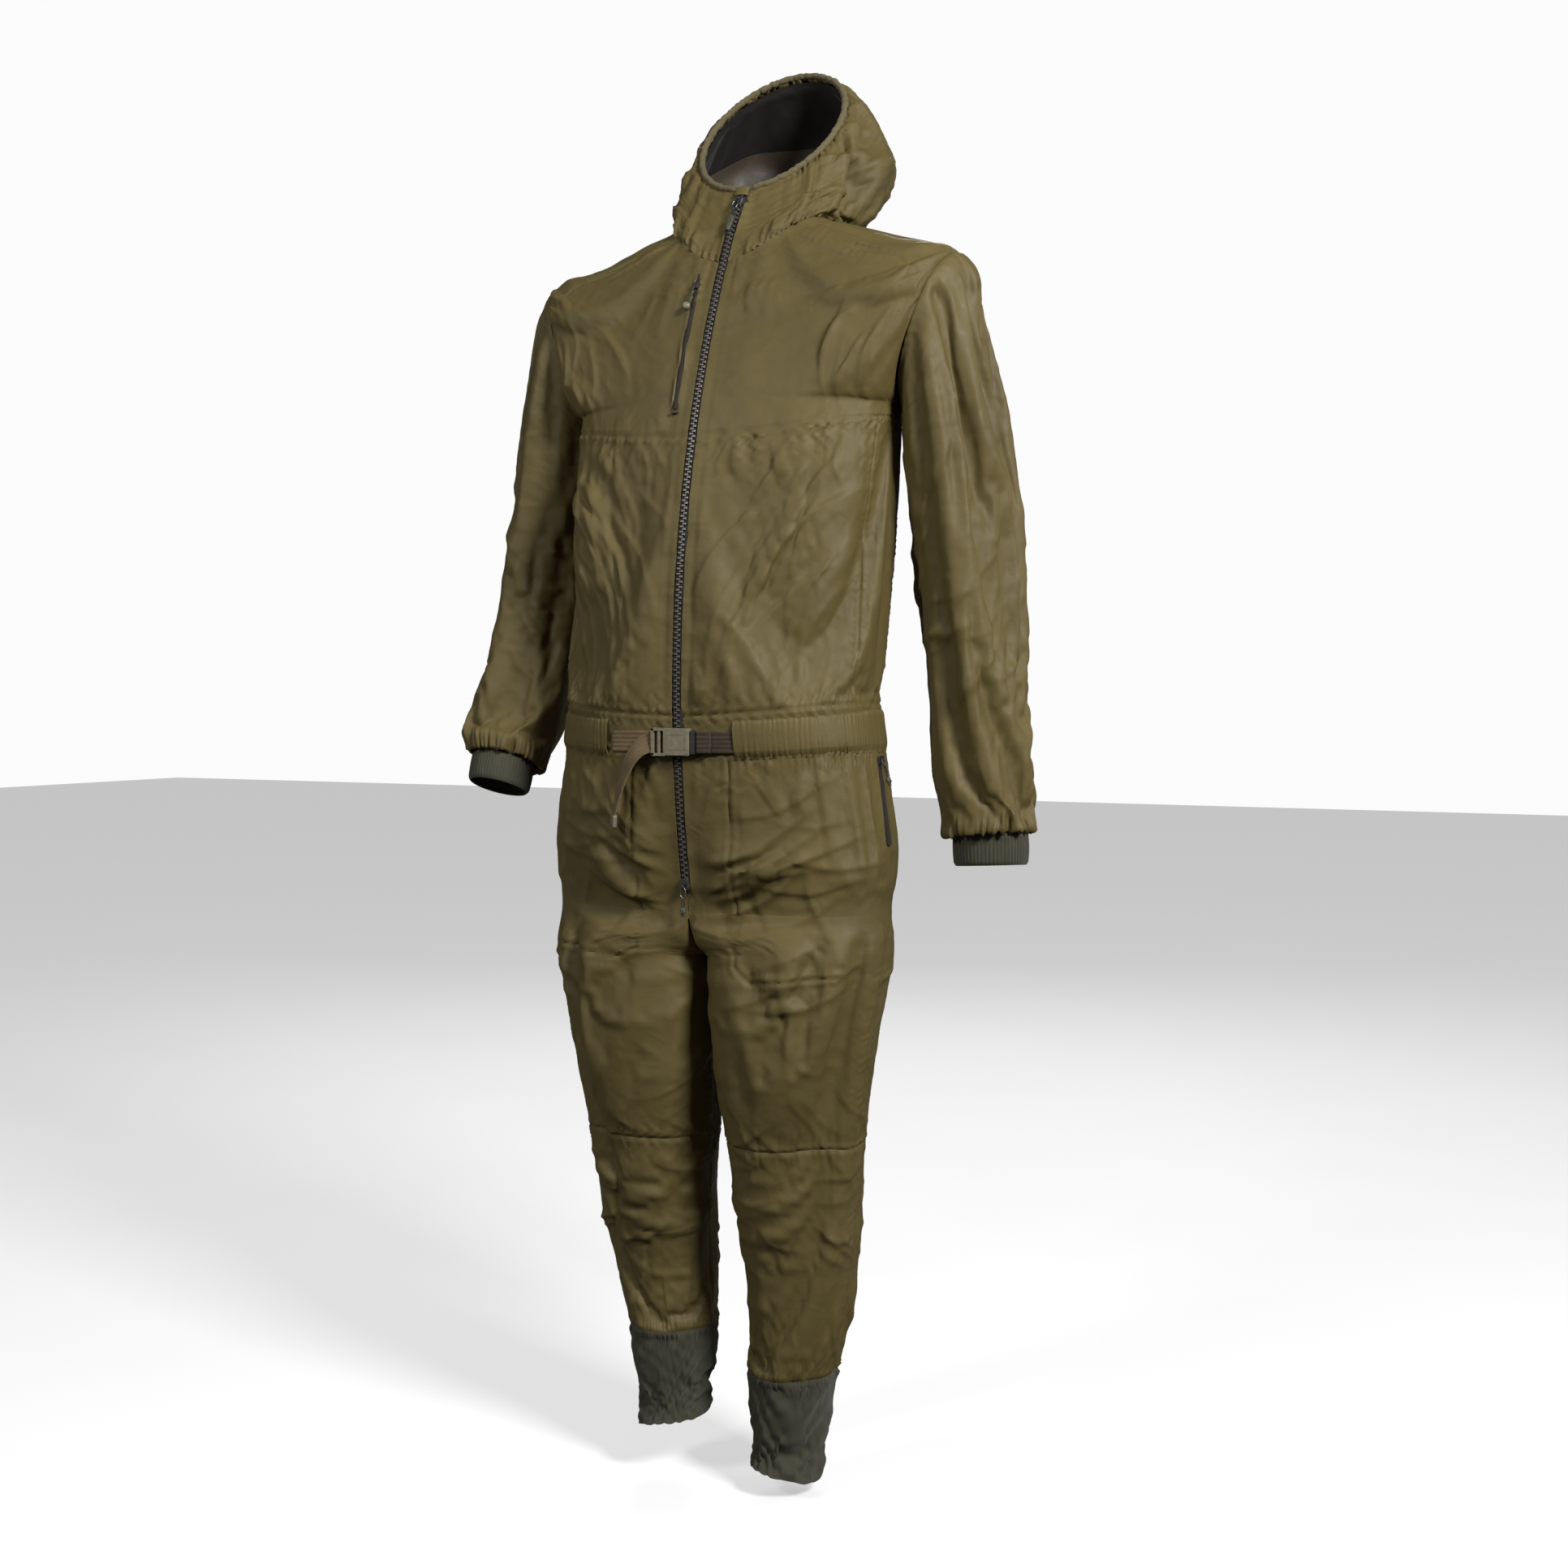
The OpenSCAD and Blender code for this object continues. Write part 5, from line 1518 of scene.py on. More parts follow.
def pull_parts(name, origin, down, left, out, body, grip_l, wire=True, cord_l=13.0):
    """A wire loop, a doubled cord and a moulded grip, hanging from the eye at origin."""
    origin, down, left, out = (np.asarray(x, float) for x in (origin, down, left, out))
    made_here = []
    loop = []
    for k in range(33):
        t = 2 * math.pi * k / 32
        x = 3.6 * math.cos(t)
        z = 6.2 + 6.6 * math.sin(t)
        x *= 1.0 if z > 5 else 0.9
        loop.append(origin + left * x + down * z)
    ring = tube_mesh(name + "_wire", loop[:-1], 0.85, 10, closed=True)
    made_here.append((ring, "metal"))
    for sgn in (-1, 1):
        path = []
        for k in range(14):
            t = k / 13
            path.append(origin + down * (11.6 + cord_l * t) + left * sgn * (0.9 + 0.8 * math.sin(math.pi * t))
                        + out * 0.5 * math.sin(math.pi * t + sgn))
        made_here.append((tube_mesh(name + "_cord", path, 0.75, 10), "cord"))
    top = 11.6 + cord_l - 1.0
    groups = []
    for z0, z1, w0, w1, o0, o1 in ((0, 2.2, 2.2, 3.6, 1.5, 2.2), (2.2, 5, 3.6, 3.9, 2.2, 2.4),
                                   (5, grip_l - 4, 3.9, 3.0, 2.4, 2.0), (grip_l - 4, grip_l, 3.0, 1.9, 2.0, 1.2)):
        pts = []
        for z, w, o in ((z0, w0, o0), (z1, w1, o1)):
            for k in range(16):
                t = 2 * math.pi * k / 16
                cx = math.copysign(abs(math.cos(t)) ** 0.7, math.cos(t))
                cy = math.copysign(abs(math.sin(t)) ** 0.7, math.sin(t))
                pts.append(origin + down * (top + z) + left * w * cx + out * o * cy)
        groups.append(np.array(pts))
    for k in range(3):
        z = top + 5.5 + k * 2.2
        if z > top + grip_l - 4:
            break
        pts = []
        for dz in (0, 0.9):
            for sx in (-1, 1):
                for so in (-1, 1):
                    pts.append(origin + down * (z + dz) + left * sx * 3.2 + out * so * 2.65)
        groups.append(np.array(pts))
    grip = solid(name + "_grip", groups, None, (), 0.4)
    made_here.append((grip, "grip"))
    for obj, _ in made_here:
        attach(obj, body)
    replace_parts(made_here[0][0], body)
    return made_here


upper_slider = zip_slider("upper_slider_body", 28.75, "upper_slider", False)
lower_slider = zip_slider("lower_slider_body", -10.85, "lower_slider", True)
at, left, out, up = zip_frame(28.95, 7.2)
pulls = pull_parts("upper_pull", at, -up, left, out, "upper_pull", 22)
at, left, out, up = zip_frame(-10.65, 7.2)
pulls += pull_parts("lower_pull", at, (0, 0, -1), left, (0, -1, 0), "lower_pull", 11)

# --- Pocket zips and their pulls ------------------------------------------------------------------

def chest_parts():
    """The coiled pocket zip beside the placket, with a knob on a short cord."""
    angles = np.linspace(15.9, 24.2, 90)
    groups = []
    xs = np.array([-3.4, -3.1, -1.6, -1.2, -0.3, 0, 0.3, 1.2, 1.6, 3.1, 3.4])
    ds = np.array([0.0, 0.7, 0.9, 1.6, 1.8, 1.2, 1.8, 1.6, 0.9, 0.7, 0.0])
    p = []
    for i, angle in enumerate(angles):
        at, left, out, up = zip_frame(angle)
        p.append([at + left * (CHEST_X + x) + out * (d + 0.9) for x, d in zip(xs, ds)])
    g = Grid(np.array(p))
    strip = cloth_object("chest_zip_strip", g, np.array([0, 0.0, -500]))
    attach(strip, "suit")
    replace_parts(strip, "chest_zip")
    at, left, out, up = zip_frame(23.42, 4.2)
    at = at + left * CHEST_X
    body = solid("chest_slider_body", [
        plate((at, left, out, up), [(-3.6, -4.4), (3.6, -4.4), (3.9, 2.6), (2, 4.4), (-2, 4.4), (-3.9, 2.6)], -0.8, 1.5, 0.12),
        plate((at, left, out, up), [(-1, -1.5), (1, -1.5), (1, 3), (-1, 3)], 1.2, 3.4)], None, (), 0.3)
    lean = math.radians(12)
    down = -(up * math.cos(lean) + left * math.sin(lean))
    side_way = left * math.cos(lean) - up * math.sin(lean)
    eye = at + out * 2.2 - up * 1.5
    parts = [(body, "black")]
    path = [eye + down * (26 * k / 12) + out * (1.2 * math.sin(math.pi * k / 12)) for k in range(13)]
    parts.append((tube_mesh("chest_toggle_cord", path, 1.1, 10), "cord"))
    knob = []
    profile = [(0, 0.6), (0.4, 2.8), (1.6, 4.4), (3.6, 5.3), (5.6, 5.3), (7.4, 4.5), (8.8, 3.0), (9.4, 0.6)]
    for z, r in profile:
        for k in range(18):
            t = 2 * math.pi * k / 18
            knob.append(eye + down * (23.5 + z) + (side_way * math.cos(t) + out * 0.8 * math.sin(t)) * r)
    parts.append((solid("chest_toggle_knob", [np.array(knob)], None), "buckle"))
    for obj, _ in parts:
        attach(obj, "chest_slider")
    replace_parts(body, "chest_slider")
    # bar-tack at the lower end
    at, left, out, up = zip_frame(15.7, 1.2)
    tack = solid("chest_tack", [plate((at + left * CHEST_X, left, out, up),
                                      [(-5, -1.2), (5, -1.2), (5, 1.2), (-5, 1.2)], -1, 0.9, 0.05)], "suit")
    parts.append((tack, "tack"))
    pocket = Grid(np.array([[zip_frame(a, -22)[0] + np.array([x, 0, 0]) for x in np.linspace(-104, -26, 20)]
                            for a in np.linspace(14.9, 22.7, 24)]))
    bag = cloth_object("chest_pocket_bag", pocket, np.array([0, 0.0, -300]))
    thicken(bag, 1.0)
    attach(bag, "suit")
    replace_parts(bag, "chest_pocket")
    return strip, parts, bag


HIP_V0, HIP_V1, HIP_SLIDER = 8.12, 8.95, 8.15


def hip_point(side, v):
    r = rows_at(TRUNK, v)
    k = v - 8
    p = np.array([203 + 21 * k, -143 - 5 * k, -638 - 122 * k])
    return p * np.array([side, 1, 1])


def hip_parts(side):
    tag = "_left" if side > 0 else "_right"
    fall = math.atan2(21, 122)
    down = np.array([side * math.sin(fall), -0.04, -math.cos(fall)])
    down = down / np.linalg.norm(down)
    left = np.array([0, side * 1.0, 0])
    out = unit(np.cross(left, -down)) * 1.0
    if out[0] * side < 0:
        out = -out
    rows = []
    xs = np.array([-4.4, -4.0, -1.6, -1.2, -0.3, 0, 0.3, 1.2, 1.6, 4.0, 4.4])
    ds = np.array([-1.5, 1.3, 1.5, 2.1, 2.3, 1.7, 2.3, 2.1, 1.5, 1.3, -1.5])
    for v in np.linspace(HIP_V0, HIP_V1, 60):
        at = hip_point(side, v)
        rows.append([at + left * x + out * (d + 0.6) for x, d in zip(xs, ds)])
    strip = cloth_object("hip_zip" + tag, Grid(np.array(rows)), np.array([0, -140.0, -700]))
    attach(strip, "suit")
    at = hip_point(side, HIP_SLIDER)
    up = -down
    body = solid("hip_slider_body" + tag, [
        plate((at, left, out, up), [(-3.6, -4.8), (3.6, -4.8), (3.8, 2.6), (2, 4.8), (-2, 4.8), (-3.8, 2.6)], 2.0, 4.5, 0.12),
        plate((at + up * 3, left, out, up), [(-1.3, -2.2), (1.3, -2.2), (1.3, 2.2), (-1.3, 2.2)], 4.2, 8.0, 0.1)],
        "hip_slider" + tag, ["hip_slider" + tag], 0.3)
    tilt = fall + math.radians(8)
    hang = np.array([side * math.sin(tilt), 0, -math.cos(tilt)])
    eye = at + out * 6 + up * 3
    outward = unit(np.cross(left, -hang))
    if outward[0] * side < 0:
        outward = -outward
    pull = pull_parts("hip_pull" + tag, eye, hang, left, outward, "hip_pull" + tag, 11)
    us = np.linspace(0.6, 0.97, 10)
    vs = np.linspace(8.15, 9.55, 24)
    p = trunk(us[None, :], vs[:, None], -1, side)
    bag_grid = Grid(p)
    n = bag_grid.outward(trunk_inside)
    bag_grid.p -= n * 12
    bag = cloth_object("hip_pocket_bag" + tag, bag_grid, trunk_inside)
    thicken(bag, 1.0)
    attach(bag, "suit")
    return strip, body, pull, bag


chest_strip, chest_bits, chest_bag = chest_parts()
hip_made = {side: hip_parts(side) for side in (1, -1)}
for side in (1, -1):
    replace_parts(hip_made[side][0], "hip_zips") if side > 0 else None
    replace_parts(hip_made[side][3], "hip_pockets") if side > 0 else None

# --- Belt and buckle --------------------------------------------------------------------------------

BELT_Z = -634.0
BELT_R = 520.0
BELT_Y = zip_y(BELT_Z) + BELT_R


def webbing(name, path, across, out, width, thick, body):
    """Ribbed webbing along a path; across and out are unit vectors for each point."""
    path = np.asarray(path, float)
    ribs = 5
    cols = 41
    s = np.linspace(-1, 1, cols)
    edge = 1 - np.clip((np.abs(s) - 0.93) / 0.07, 0, 1) ** 2
    rib = 0.22 * np.cos(s * math.pi * ribs) * (np.abs(s) < 0.94)
    front = path[:, None] + across[:, None] * (s * width / 2)[None, :, None] \
        + out[:, None] * ((thick / 2 + rib) * (0.35 + 0.65 * edge))[None, :, None]
    rear = path[:, None] + across[:, None] * (s[::-1] * width / 2)[None, :, None] \
        - out[:, None] * ((thick / 2) * (0.35 + 0.65 * edge))[None, ::-1, None]
    g = Grid(np.concatenate([front, rear], 1), True)
    faces = g.faces().tolist()
    n = 2 * cols
    faces.append(list(range(n))[::-1])
    faces.append([(len(path) - 1) * n + k for k in range(n)])
    run = np.concatenate([[0], np.cumsum(np.linalg.norm(np.diff(path, axis=0), axis=1))])
    uu = np.concatenate([s * width / 2, s[::-1] * width / 2])
    uv = np.stack(np.meshgrid(uu, run), -1).reshape(-1, 2) * MM
    obj = new_mesh(name, g.p, faces, uv)
    face_out(obj)
    if body:
        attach(obj, body)
    return obj


def belt_run(name, x0, x1, out0, out1, body, thick=1.8, width=25, step=1.5, dip=0.0):
    xs = np.linspace(x0, x1, max(4, int(abs(x1 - x0) / step)))
    k = np.linspace(0, 1, len(xs))
    r = BELT_R + out0 + (out1 - out0) * k
    t = xs / BELT_R
    path = np.stack([r * np.sin(t), BELT_Y - r * np.cos(t), BELT_Z + dip * np.sin(np.pi * k)], -1)
    out = np.stack([np.sin(t), -np.cos(t), 0 * t], -1)
    across = np.repeat(np.array([[0, 0, 1.0]]), len(xs), 0)
    return webbing(name, path, across, out, width, thick, body)


belt_right = belt_run("belt_right_webbing", -92, -23, 2.2, 2.2, "suit")
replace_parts(belt_right, "belt_right")
belt_left = belt_run("belt_left_webbing", 28, 95, 4.5, 4.5, "belt_clip")
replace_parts(belt_left, "belt_left")
belt_fold = belt_run("belt_fold_webbing", 29, 46.5, 7.0, 7.0, "belt_clip", 3.0, 25.6)
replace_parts(belt_fold, "belt_fold")

TAIL = np.array([[-14, -259.5, -634], [-24, -259.8, -634], [-35, -261.5, -635.5], [-46, -264.5, -642],
                 [-57, -266, -655], [-65, -265, -670], [-71, -266, -687], [-75, -267, -703],
                 [-78, -268, -718.0]])
TAIL_TWIST = math.radians(52)
tail_path = cubic(np.repeat(TAIL[:, None], 1, 1), np.linspace(0, 8, 90), 0, False)[:, 0]
d = unit(np.gradient(tail_path, axis=0))
turn = TAIL_TWIST * np.linspace(0, 1, 90) ** 0.7
facing = np.stack([-np.sin(turn), -np.cos(turn), 0 * turn], -1)
sweep = unit(np.cross(d, facing))
tail = webbing("belt_tail_webbing", tail_path, sweep, unit(np.cross(sweep, d)), 24, 1.8, "suit")
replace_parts(tail, "belt_tail")


def rounded(w, h, r, n=6):
    pts = []
    for sx, sy, start in ((1, 1, 0), (-1, 1, 90), (-1, -1, 180), (1, -1, 270)):
        for k in range(n + 1):
            t = math.radians(start + 90 * k / n)
            pts.append((sx * (w / 2 - r) + r * math.cos(t), sy * (h / 2 - r) + r * math.sin(t)))
    return pts


def buckle():
    """A side-entry clip: a domed case over the tongue, with a slot and bars for the webbing."""
    at = np.array([-4, zip_y(BELT_Z) - 3.2, BELT_Z])
    left, out, up = np.array([1.0, 0, 0]), np.array([0, -1.0, 0]), np.array([0, 0, 1.0])
    fr = (at, left, out, up)

    def block(x0, x1, z0, z1, o0, o1, r=1.2, crown=0.03):
        c = at + left * (x0 + x1) / 2 + up * (z0 + z1) / 2
        return plate((c, left, out, up), rounded(x1 - x0, z1 - z0, r), o0, o1, crown)

    groups = [
        block(-7, 25, -16, 16, 4.4, 7.4, 4, 0.05), block(-7, 25, -16, 16, 0.2, 1.9, 4, 0.0),
        block(-7, 25, 9.6, 16, 0.4, 6.6, 1.5), block(-7, 25, -16, -9.6, 0.4, 6.6, 1.5),
        block(-9, -4, -16, 16, 0.2, 7.0, 1.5),
        block(-26, -6, 12.9, 16.4, 0.4, 6.8, 1.4), block(-26, -6, -16.4, -12.9, 0.4, 6.8, 1.4),
        block(-26, -22.4, -16.4, 16.4, 3.0, 6.8, 1.5), block(-17, -14, -14, 14, 3.2, 6.4, 1.2)]
    body = solid("buckle_case", groups, "suit", ["buckle_socket"], 0.5)
    rim_groups = []
    for z0, z1 in ((8.2, 9.0), (-9.0, -8.2)):
        rim_groups.append(block(-2, 21, z0, z1, 7.0, 7.75, 0.3))
    rim_groups.append(block(20.2, 21, -9, 9, 7.0, 7.75, 0.3))
    rim_groups.append(block(-2.8, -2, -9, 9, 7.0, 7.75, 0.3))
    ridge = solid("buckle_ridge", rim_groups, "suit", (), 0.15)
    c = fr[0]
    tongue = [block(5.2, 26, -9, 9, 2.5, 4.0, 1.0), block(25.6, 31.8, -14, 14, 0.6, 5.4, 1.3),
              block(27.4, 30, -12, 12, 5.2, 6.2, 1.0)]
    insert = solid("buckle_tongue", tongue, "belt_clip", ["buckle_insert"], 0.35)
    tip_at = TAIL[-1] + np.array([-0.5, 0, -0.5])
    lean = math.radians(9)
    l2 = np.array([math.cos(lean), 0, -math.sin(lean)])
    u2 = np.array([math.sin(lean), 0, math.cos(lean)])
    spin = Matrix.Rotation(-TAIL_TWIST, 3, "Z")
    l2, u2, o2 = (np.array(spin @ Vector(way)) for way in (l2, u2, out))
    tip = solid("tail_end", [plate((tip_at - u2 * 8.2, l2, o2, u2), rounded(26, 15.5, 2.6), -2, 2.2, 0.03),
                             plate((tip_at - u2 * 8.2, l2, o2, u2), rounded(20, 9.5, 2.0), 2.0, 2.7, 0.02)],
                "suit", ["tail_tip"], 0.4)
    return body, ridge, insert, tip


case, ridge, insert, tail_tip = buckle()

# --- Waist tunnels ----------------------------------------------------------------------------------


def tunnel():
    """The gathered band round the waist that the belt runs in; it opens either side of the buckle."""
    r = np.random.default_rng(60)
    ws = []
    front_l = np.linspace(0.2, 1, 90)
    back_c = np.linspace(1, 0, 130)
    cols = [(w, -1, 1) for w in front_l] + [(w, 1, 1) for w in back_c[1:]] \
        + [(w, 1, -1) for w in back_c[::-1][1:]] + [(w, -1, -1) for w in front_l[::-1][1:-9]]
    outs = [(7.10, 1.0), (7.14, 4.4), (7.2, 6.2), (7.35, 7.0), (7.5, 7.2), (7.65, 7.1), (7.85, 6.9),
            (7.98, 6.2), (8.04, 4.4), (8.1, 1.0)]
    vs = np.interp(np.linspace(0, 9, 46), np.arange(10), [o[0] for o in outs])
    ds = np.interp(np.linspace(0, 9, 46), np.arange(10), [o[1] for o in outs])
    ds = blur(ds[:, None], 1, 0, False)[:, 0] if len(ds) > 3 else ds
    p = []
    for w, face, side in cols:
        q = trunk(np.full(len(vs), w), vs, face, side)
        p.append(q)
    p = np.array(p).transpose(1, 0, 2)
    g = Grid(p)
    n = g.outward(np.array([0, -100.0, -620]))
    thin = np.array([1 - 0.35 * smoothstep((w - 0.75) / 0.25) if face < 0 else 0.65 for w, face, _ in cols])
    g.p = g.p + n * (ds[:, None] * thin[None, :])[..., None]
    g.base = g.p.copy()
    k = np.arange(p.shape[1])
    arc = k * 3.4
    mid = np.sin(np.pi * np.linspace(0, 1, 46))[:, None]
    slip = (np.linspace(0, 1, 46)[:, None] - 0.5) * 5
    gather = 0.75 * wave((arc[None, :] + slip * wave(arc / 90, 61)[None, :]) / 12, 62) \
        + 0.3 * wave((arc[None, :] - slip) / 6, 63)
    g.p += n * (gather * (1.2 - mid))[..., None]
    fine = g.resample(np.linspace(0, 45, 91), np.linspace(0, p.shape[1] - 1, p.shape[1] * 2 - 1))
    obj = finish_cloth("waist_tunnel_cloth", fine, np.array([0, -100.0, -620]), ["waistband"], t=1.2)
    return obj


waist_tunnel = tunnel()

# --- Hanger loop and zip garage ---------------------------------------------------------------------

xs = np.linspace(-30.4, 30.4, 40)
path = np.stack([xs, 600 - np.sqrt(600**2 - xs**2), np.full(40, 3.5)], -1)
loop = webbing("hanger_tape", path, np.repeat([[0, 0, 1.0]], 40, 0), np.repeat([[0, -1.0, 0]], 40, 0), 7, 1.1, "suit")
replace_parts(loop, "hanger_loop")
at, left, out, up = zip_frame(29.8, 0)
garage_groups = []
for k in range(8):
    t0, t1 = math.pi * k / 8, math.pi * (k + 1) / 8
    pts = []
    for t in (t0, t1):
        for z in (-6.5, 6.5):
            pts.append(at + left * 9 * math.cos(t) + out * (0.5 + 3.0 * math.sin(t)) + up * z)
            pts.append(at + left * 8.4 * math.cos(t) + out * (-0.3 + 2.2 * math.sin(t)) + up * z * 0.95)
    garage_groups.append(np.array(pts))
garage = solid("zip_garage_cloth", garage_groups, "suit", ["zip_garage"], 0.0)

# --- Materials --------------------------------------------------------------------------------------


class Nodes:
    def __init__(self, name):
        self.mat = bpy.data.materials.new(name)
        self.mat.use_nodes = True
        self.tree = self.mat.node_tree
        self.tree.nodes.clear()
        self.out = self.tree.nodes.new("ShaderNodeOutputMaterial")
        self.bsdf = self.tree.nodes.new("ShaderNodeBsdfPrincipled")
        self.tree.links.new(self.bsdf.outputs[0], self.out.inputs[0])

    def add(self, kind, **values):
        node = self.tree.nodes.new(kind)
        for key, value in values.items():
            if hasattr(node, key):
                setattr(node, key, value)
            else:
                node.inputs[key.replace("_", " ")].default_value = value
        return node

    def link(self, a, b):
        self.tree.links.new(a, b)

    def ramp(self, source, stops):
        node = self.tree.nodes.new("ShaderNodeValToRGB")
        cr = node.color_ramp
        while len(cr.elements) < len(stops):
            cr.elements.new(0.5)
        for el, (pos, color) in zip(cr.elements, stops):
            el.position = pos
            el.color = (*color, 1)
        self.link(source, node.inputs[0])
        return node.outputs[0]

    def bump(self, height, distance, strength, normal=None):
        node = self.tree.nodes.new("ShaderNodeBump")
        node.inputs["Distance"].default_value = distance
        node.inputs["Strength"].default_value = strength
        self.link(height, node.inputs["Height"])
        if normal is not None:
            self.link(normal, node.inputs["Normal"])
        return node.outputs[0]

    def set(self, **values):
        for key, value in values.items():
            self.bsdf.inputs[key.replace("_", " ")].default_value = value


def weave(m, coord, scale_u, scale_v):
    """A fine plain weave from two crossed waves."""
    bands = []
    for direction, scale in (("X", scale_u), ("Y", scale_v)):
        w = m.add("ShaderNodeTexWave", wave_type="BANDS", bands_direction=direction)
        w.inputs["Scale"].default_value = scale
        w.inputs["Distortion"].default_value = 0.6
        w.inputs["Detail"].default_value = 1
        m.link(coord, w.inputs["Vector"])
        bands.append(w.outputs["Fac"])
    mul = m.add("ShaderNodeMath", operation="MULTIPLY")
    m.link(bands[0], mul.inputs[0])
    m.link(bands[1], mul.inputs[1])
    return mul.outputs[0]


def cloth_material(name, dark, light, rough, sheen, crumple, weave_scale, weave_depth, spec=0.35):
    m = Nodes(name)
    tc = m.add("ShaderNodeTexCoord")
    noise = m.add("ShaderNodeTexNoise", Scale=5.0, Detail=5.0, Roughness=0.6)
    m.link(tc.outputs["Object"], noise.inputs["Vector"])
    m.link(m.ramp(noise.outputs["Fac"], [(0.3, dark), (0.72, light)]), m.bsdf.inputs["Base Color"])
    fine = m.add("ShaderNodeTexNoise", Scale=70.0, Detail=3.0, Roughness=0.55, Distortion=0.6)
    m.link(tc.outputs["Object"], fine.inputs["Vector"])
    crease = m.add("ShaderNodeTexNoise", Scale=24.0, Detail=4.0, Roughness=0.5, Distortion=1.6)
    crease.noise_type = "RIDGED_MULTIFRACTAL"
    m.link(tc.outputs["Object"], crease.inputs["Vector"])
    normal = m.bump(crease.outputs["Fac"], 0.0022, crumple)
    normal = m.bump(fine.outputs["Fac"], 0.0012, crumple, normal)
    w = weave(m, tc.outputs["UV"], weave_scale, weave_scale)
    normal = m.bump(w, weave_depth, 0.5, normal)
    m.link(normal, m.bsdf.inputs["Normal"])
    rn = m.add("ShaderNodeMapRange", From_Min=0.3, From_Max=0.7, To_Min=rough - 0.06, To_Max=rough + 0.08)
    m.link(fine.outputs["Fac"], rn.inputs["Value"])
    m.link(rn.outputs[0], m.bsdf.inputs["Roughness"])
    m.set(Sheen_Weight=sheen, Sheen_Roughness=0.45, Specular_IOR_Level=spec)
    m.bsdf.inputs["Sheen Tint"].default_value = (*[min(1, c * 3.2 + 0.25) for c in light], 1)
    return m.mat


def plain_material(name, color, rough, metallic=0.0, grain=0.0004, spec=0.5, vary=0.15):
    m = Nodes(name)
    tc = m.add("ShaderNodeTexCoord")
    noise = m.add("ShaderNodeTexNoise", Scale=180.0, Detail=3.0)
    m.link(tc.outputs["Object"], noise.inputs["Vector"])
    dark = [c * (1 - vary) for c in color]
    light = [c * (1 + vary) for c in color]
    m.link(m.ramp(noise.outputs["Fac"], [(0.3, dark), (0.7, light)]), m.bsdf.inputs["Base Color"])
    fine = m.add("ShaderNodeTexNoise", Scale=900.0, Detail=2.0)
    m.link(tc.outputs["Object"], fine.inputs["Vector"])
    m.link(m.bump(fine.outputs["Fac"], grain, 0.35), m.bsdf.inputs["Normal"])
    m.set(Roughness=rough, Metallic=metallic, Specular_IOR_Level=spec)
    return m.mat


def knit_material(name, dark, light):
    m = Nodes(name)
    tc = m.add("ShaderNodeTexCoord")
    w = m.add("ShaderNodeTexWave", wave_type="BANDS", bands_direction="X")
    w.inputs["Scale"].default_value = 260
    w.inputs["Distortion"].default_value = 0.8
    m.link(tc.outputs["UV"], w.inputs["Vector"])
    noise = m.add("ShaderNodeTexNoise", Scale=9.0, Detail=5.0, Roughness=0.6)
    m.link(tc.outputs["Object"], noise.inputs["Vector"])
    m.link(m.ramp(noise.outputs["Fac"], [(0.3, dark), (0.7, light)]), m.bsdf.inputs["Base Color"])
    normal = m.bump(w.outputs["Fac"], 0.0008, 0.6)
    fuzz = m.add("ShaderNodeTexNoise", Scale=420.0, Detail=3.0)
    m.link(tc.outputs["Object"], fuzz.inputs["Vector"])
    m.link(m.bump(fuzz.outputs["Fac"], 0.0006, 0.5, normal), m.bsdf.inputs["Normal"])
    m.set(Roughness=0.85, Sheen_Weight=0.08, Sheen_Roughness=0.5, Specular_IOR_Level=0.2)
    return m.mat


def webbing_material(name, dark, light):
    m = Nodes(name)
    tc = m.add("ShaderNodeTexCoord")
    bands = weave(m, tc.outputs["UV"], 300, 420)
    noise = m.add("ShaderNodeTexNoise", Scale=60.0, Detail=3.0)
    m.link(tc.outputs["Object"], noise.inputs["Vector"])
    mixer = m.add("ShaderNodeMath", operation="MULTIPLY")
    m.link(bands, mixer.inputs[0])
    m.link(noise.outputs["Fac"], mixer.inputs[1])
    m.link(m.ramp(mixer.outputs[0], [(0.05, dark), (0.45, light)]), m.bsdf.inputs["Base Color"])
    m.link(m.bump(bands, 0.0006, 0.7), m.bsdf.inputs["Normal"])
    m.set(Roughness=0.62, Sheen_Weight=0.06, Specular_IOR_Level=0.25)
    return m.mat


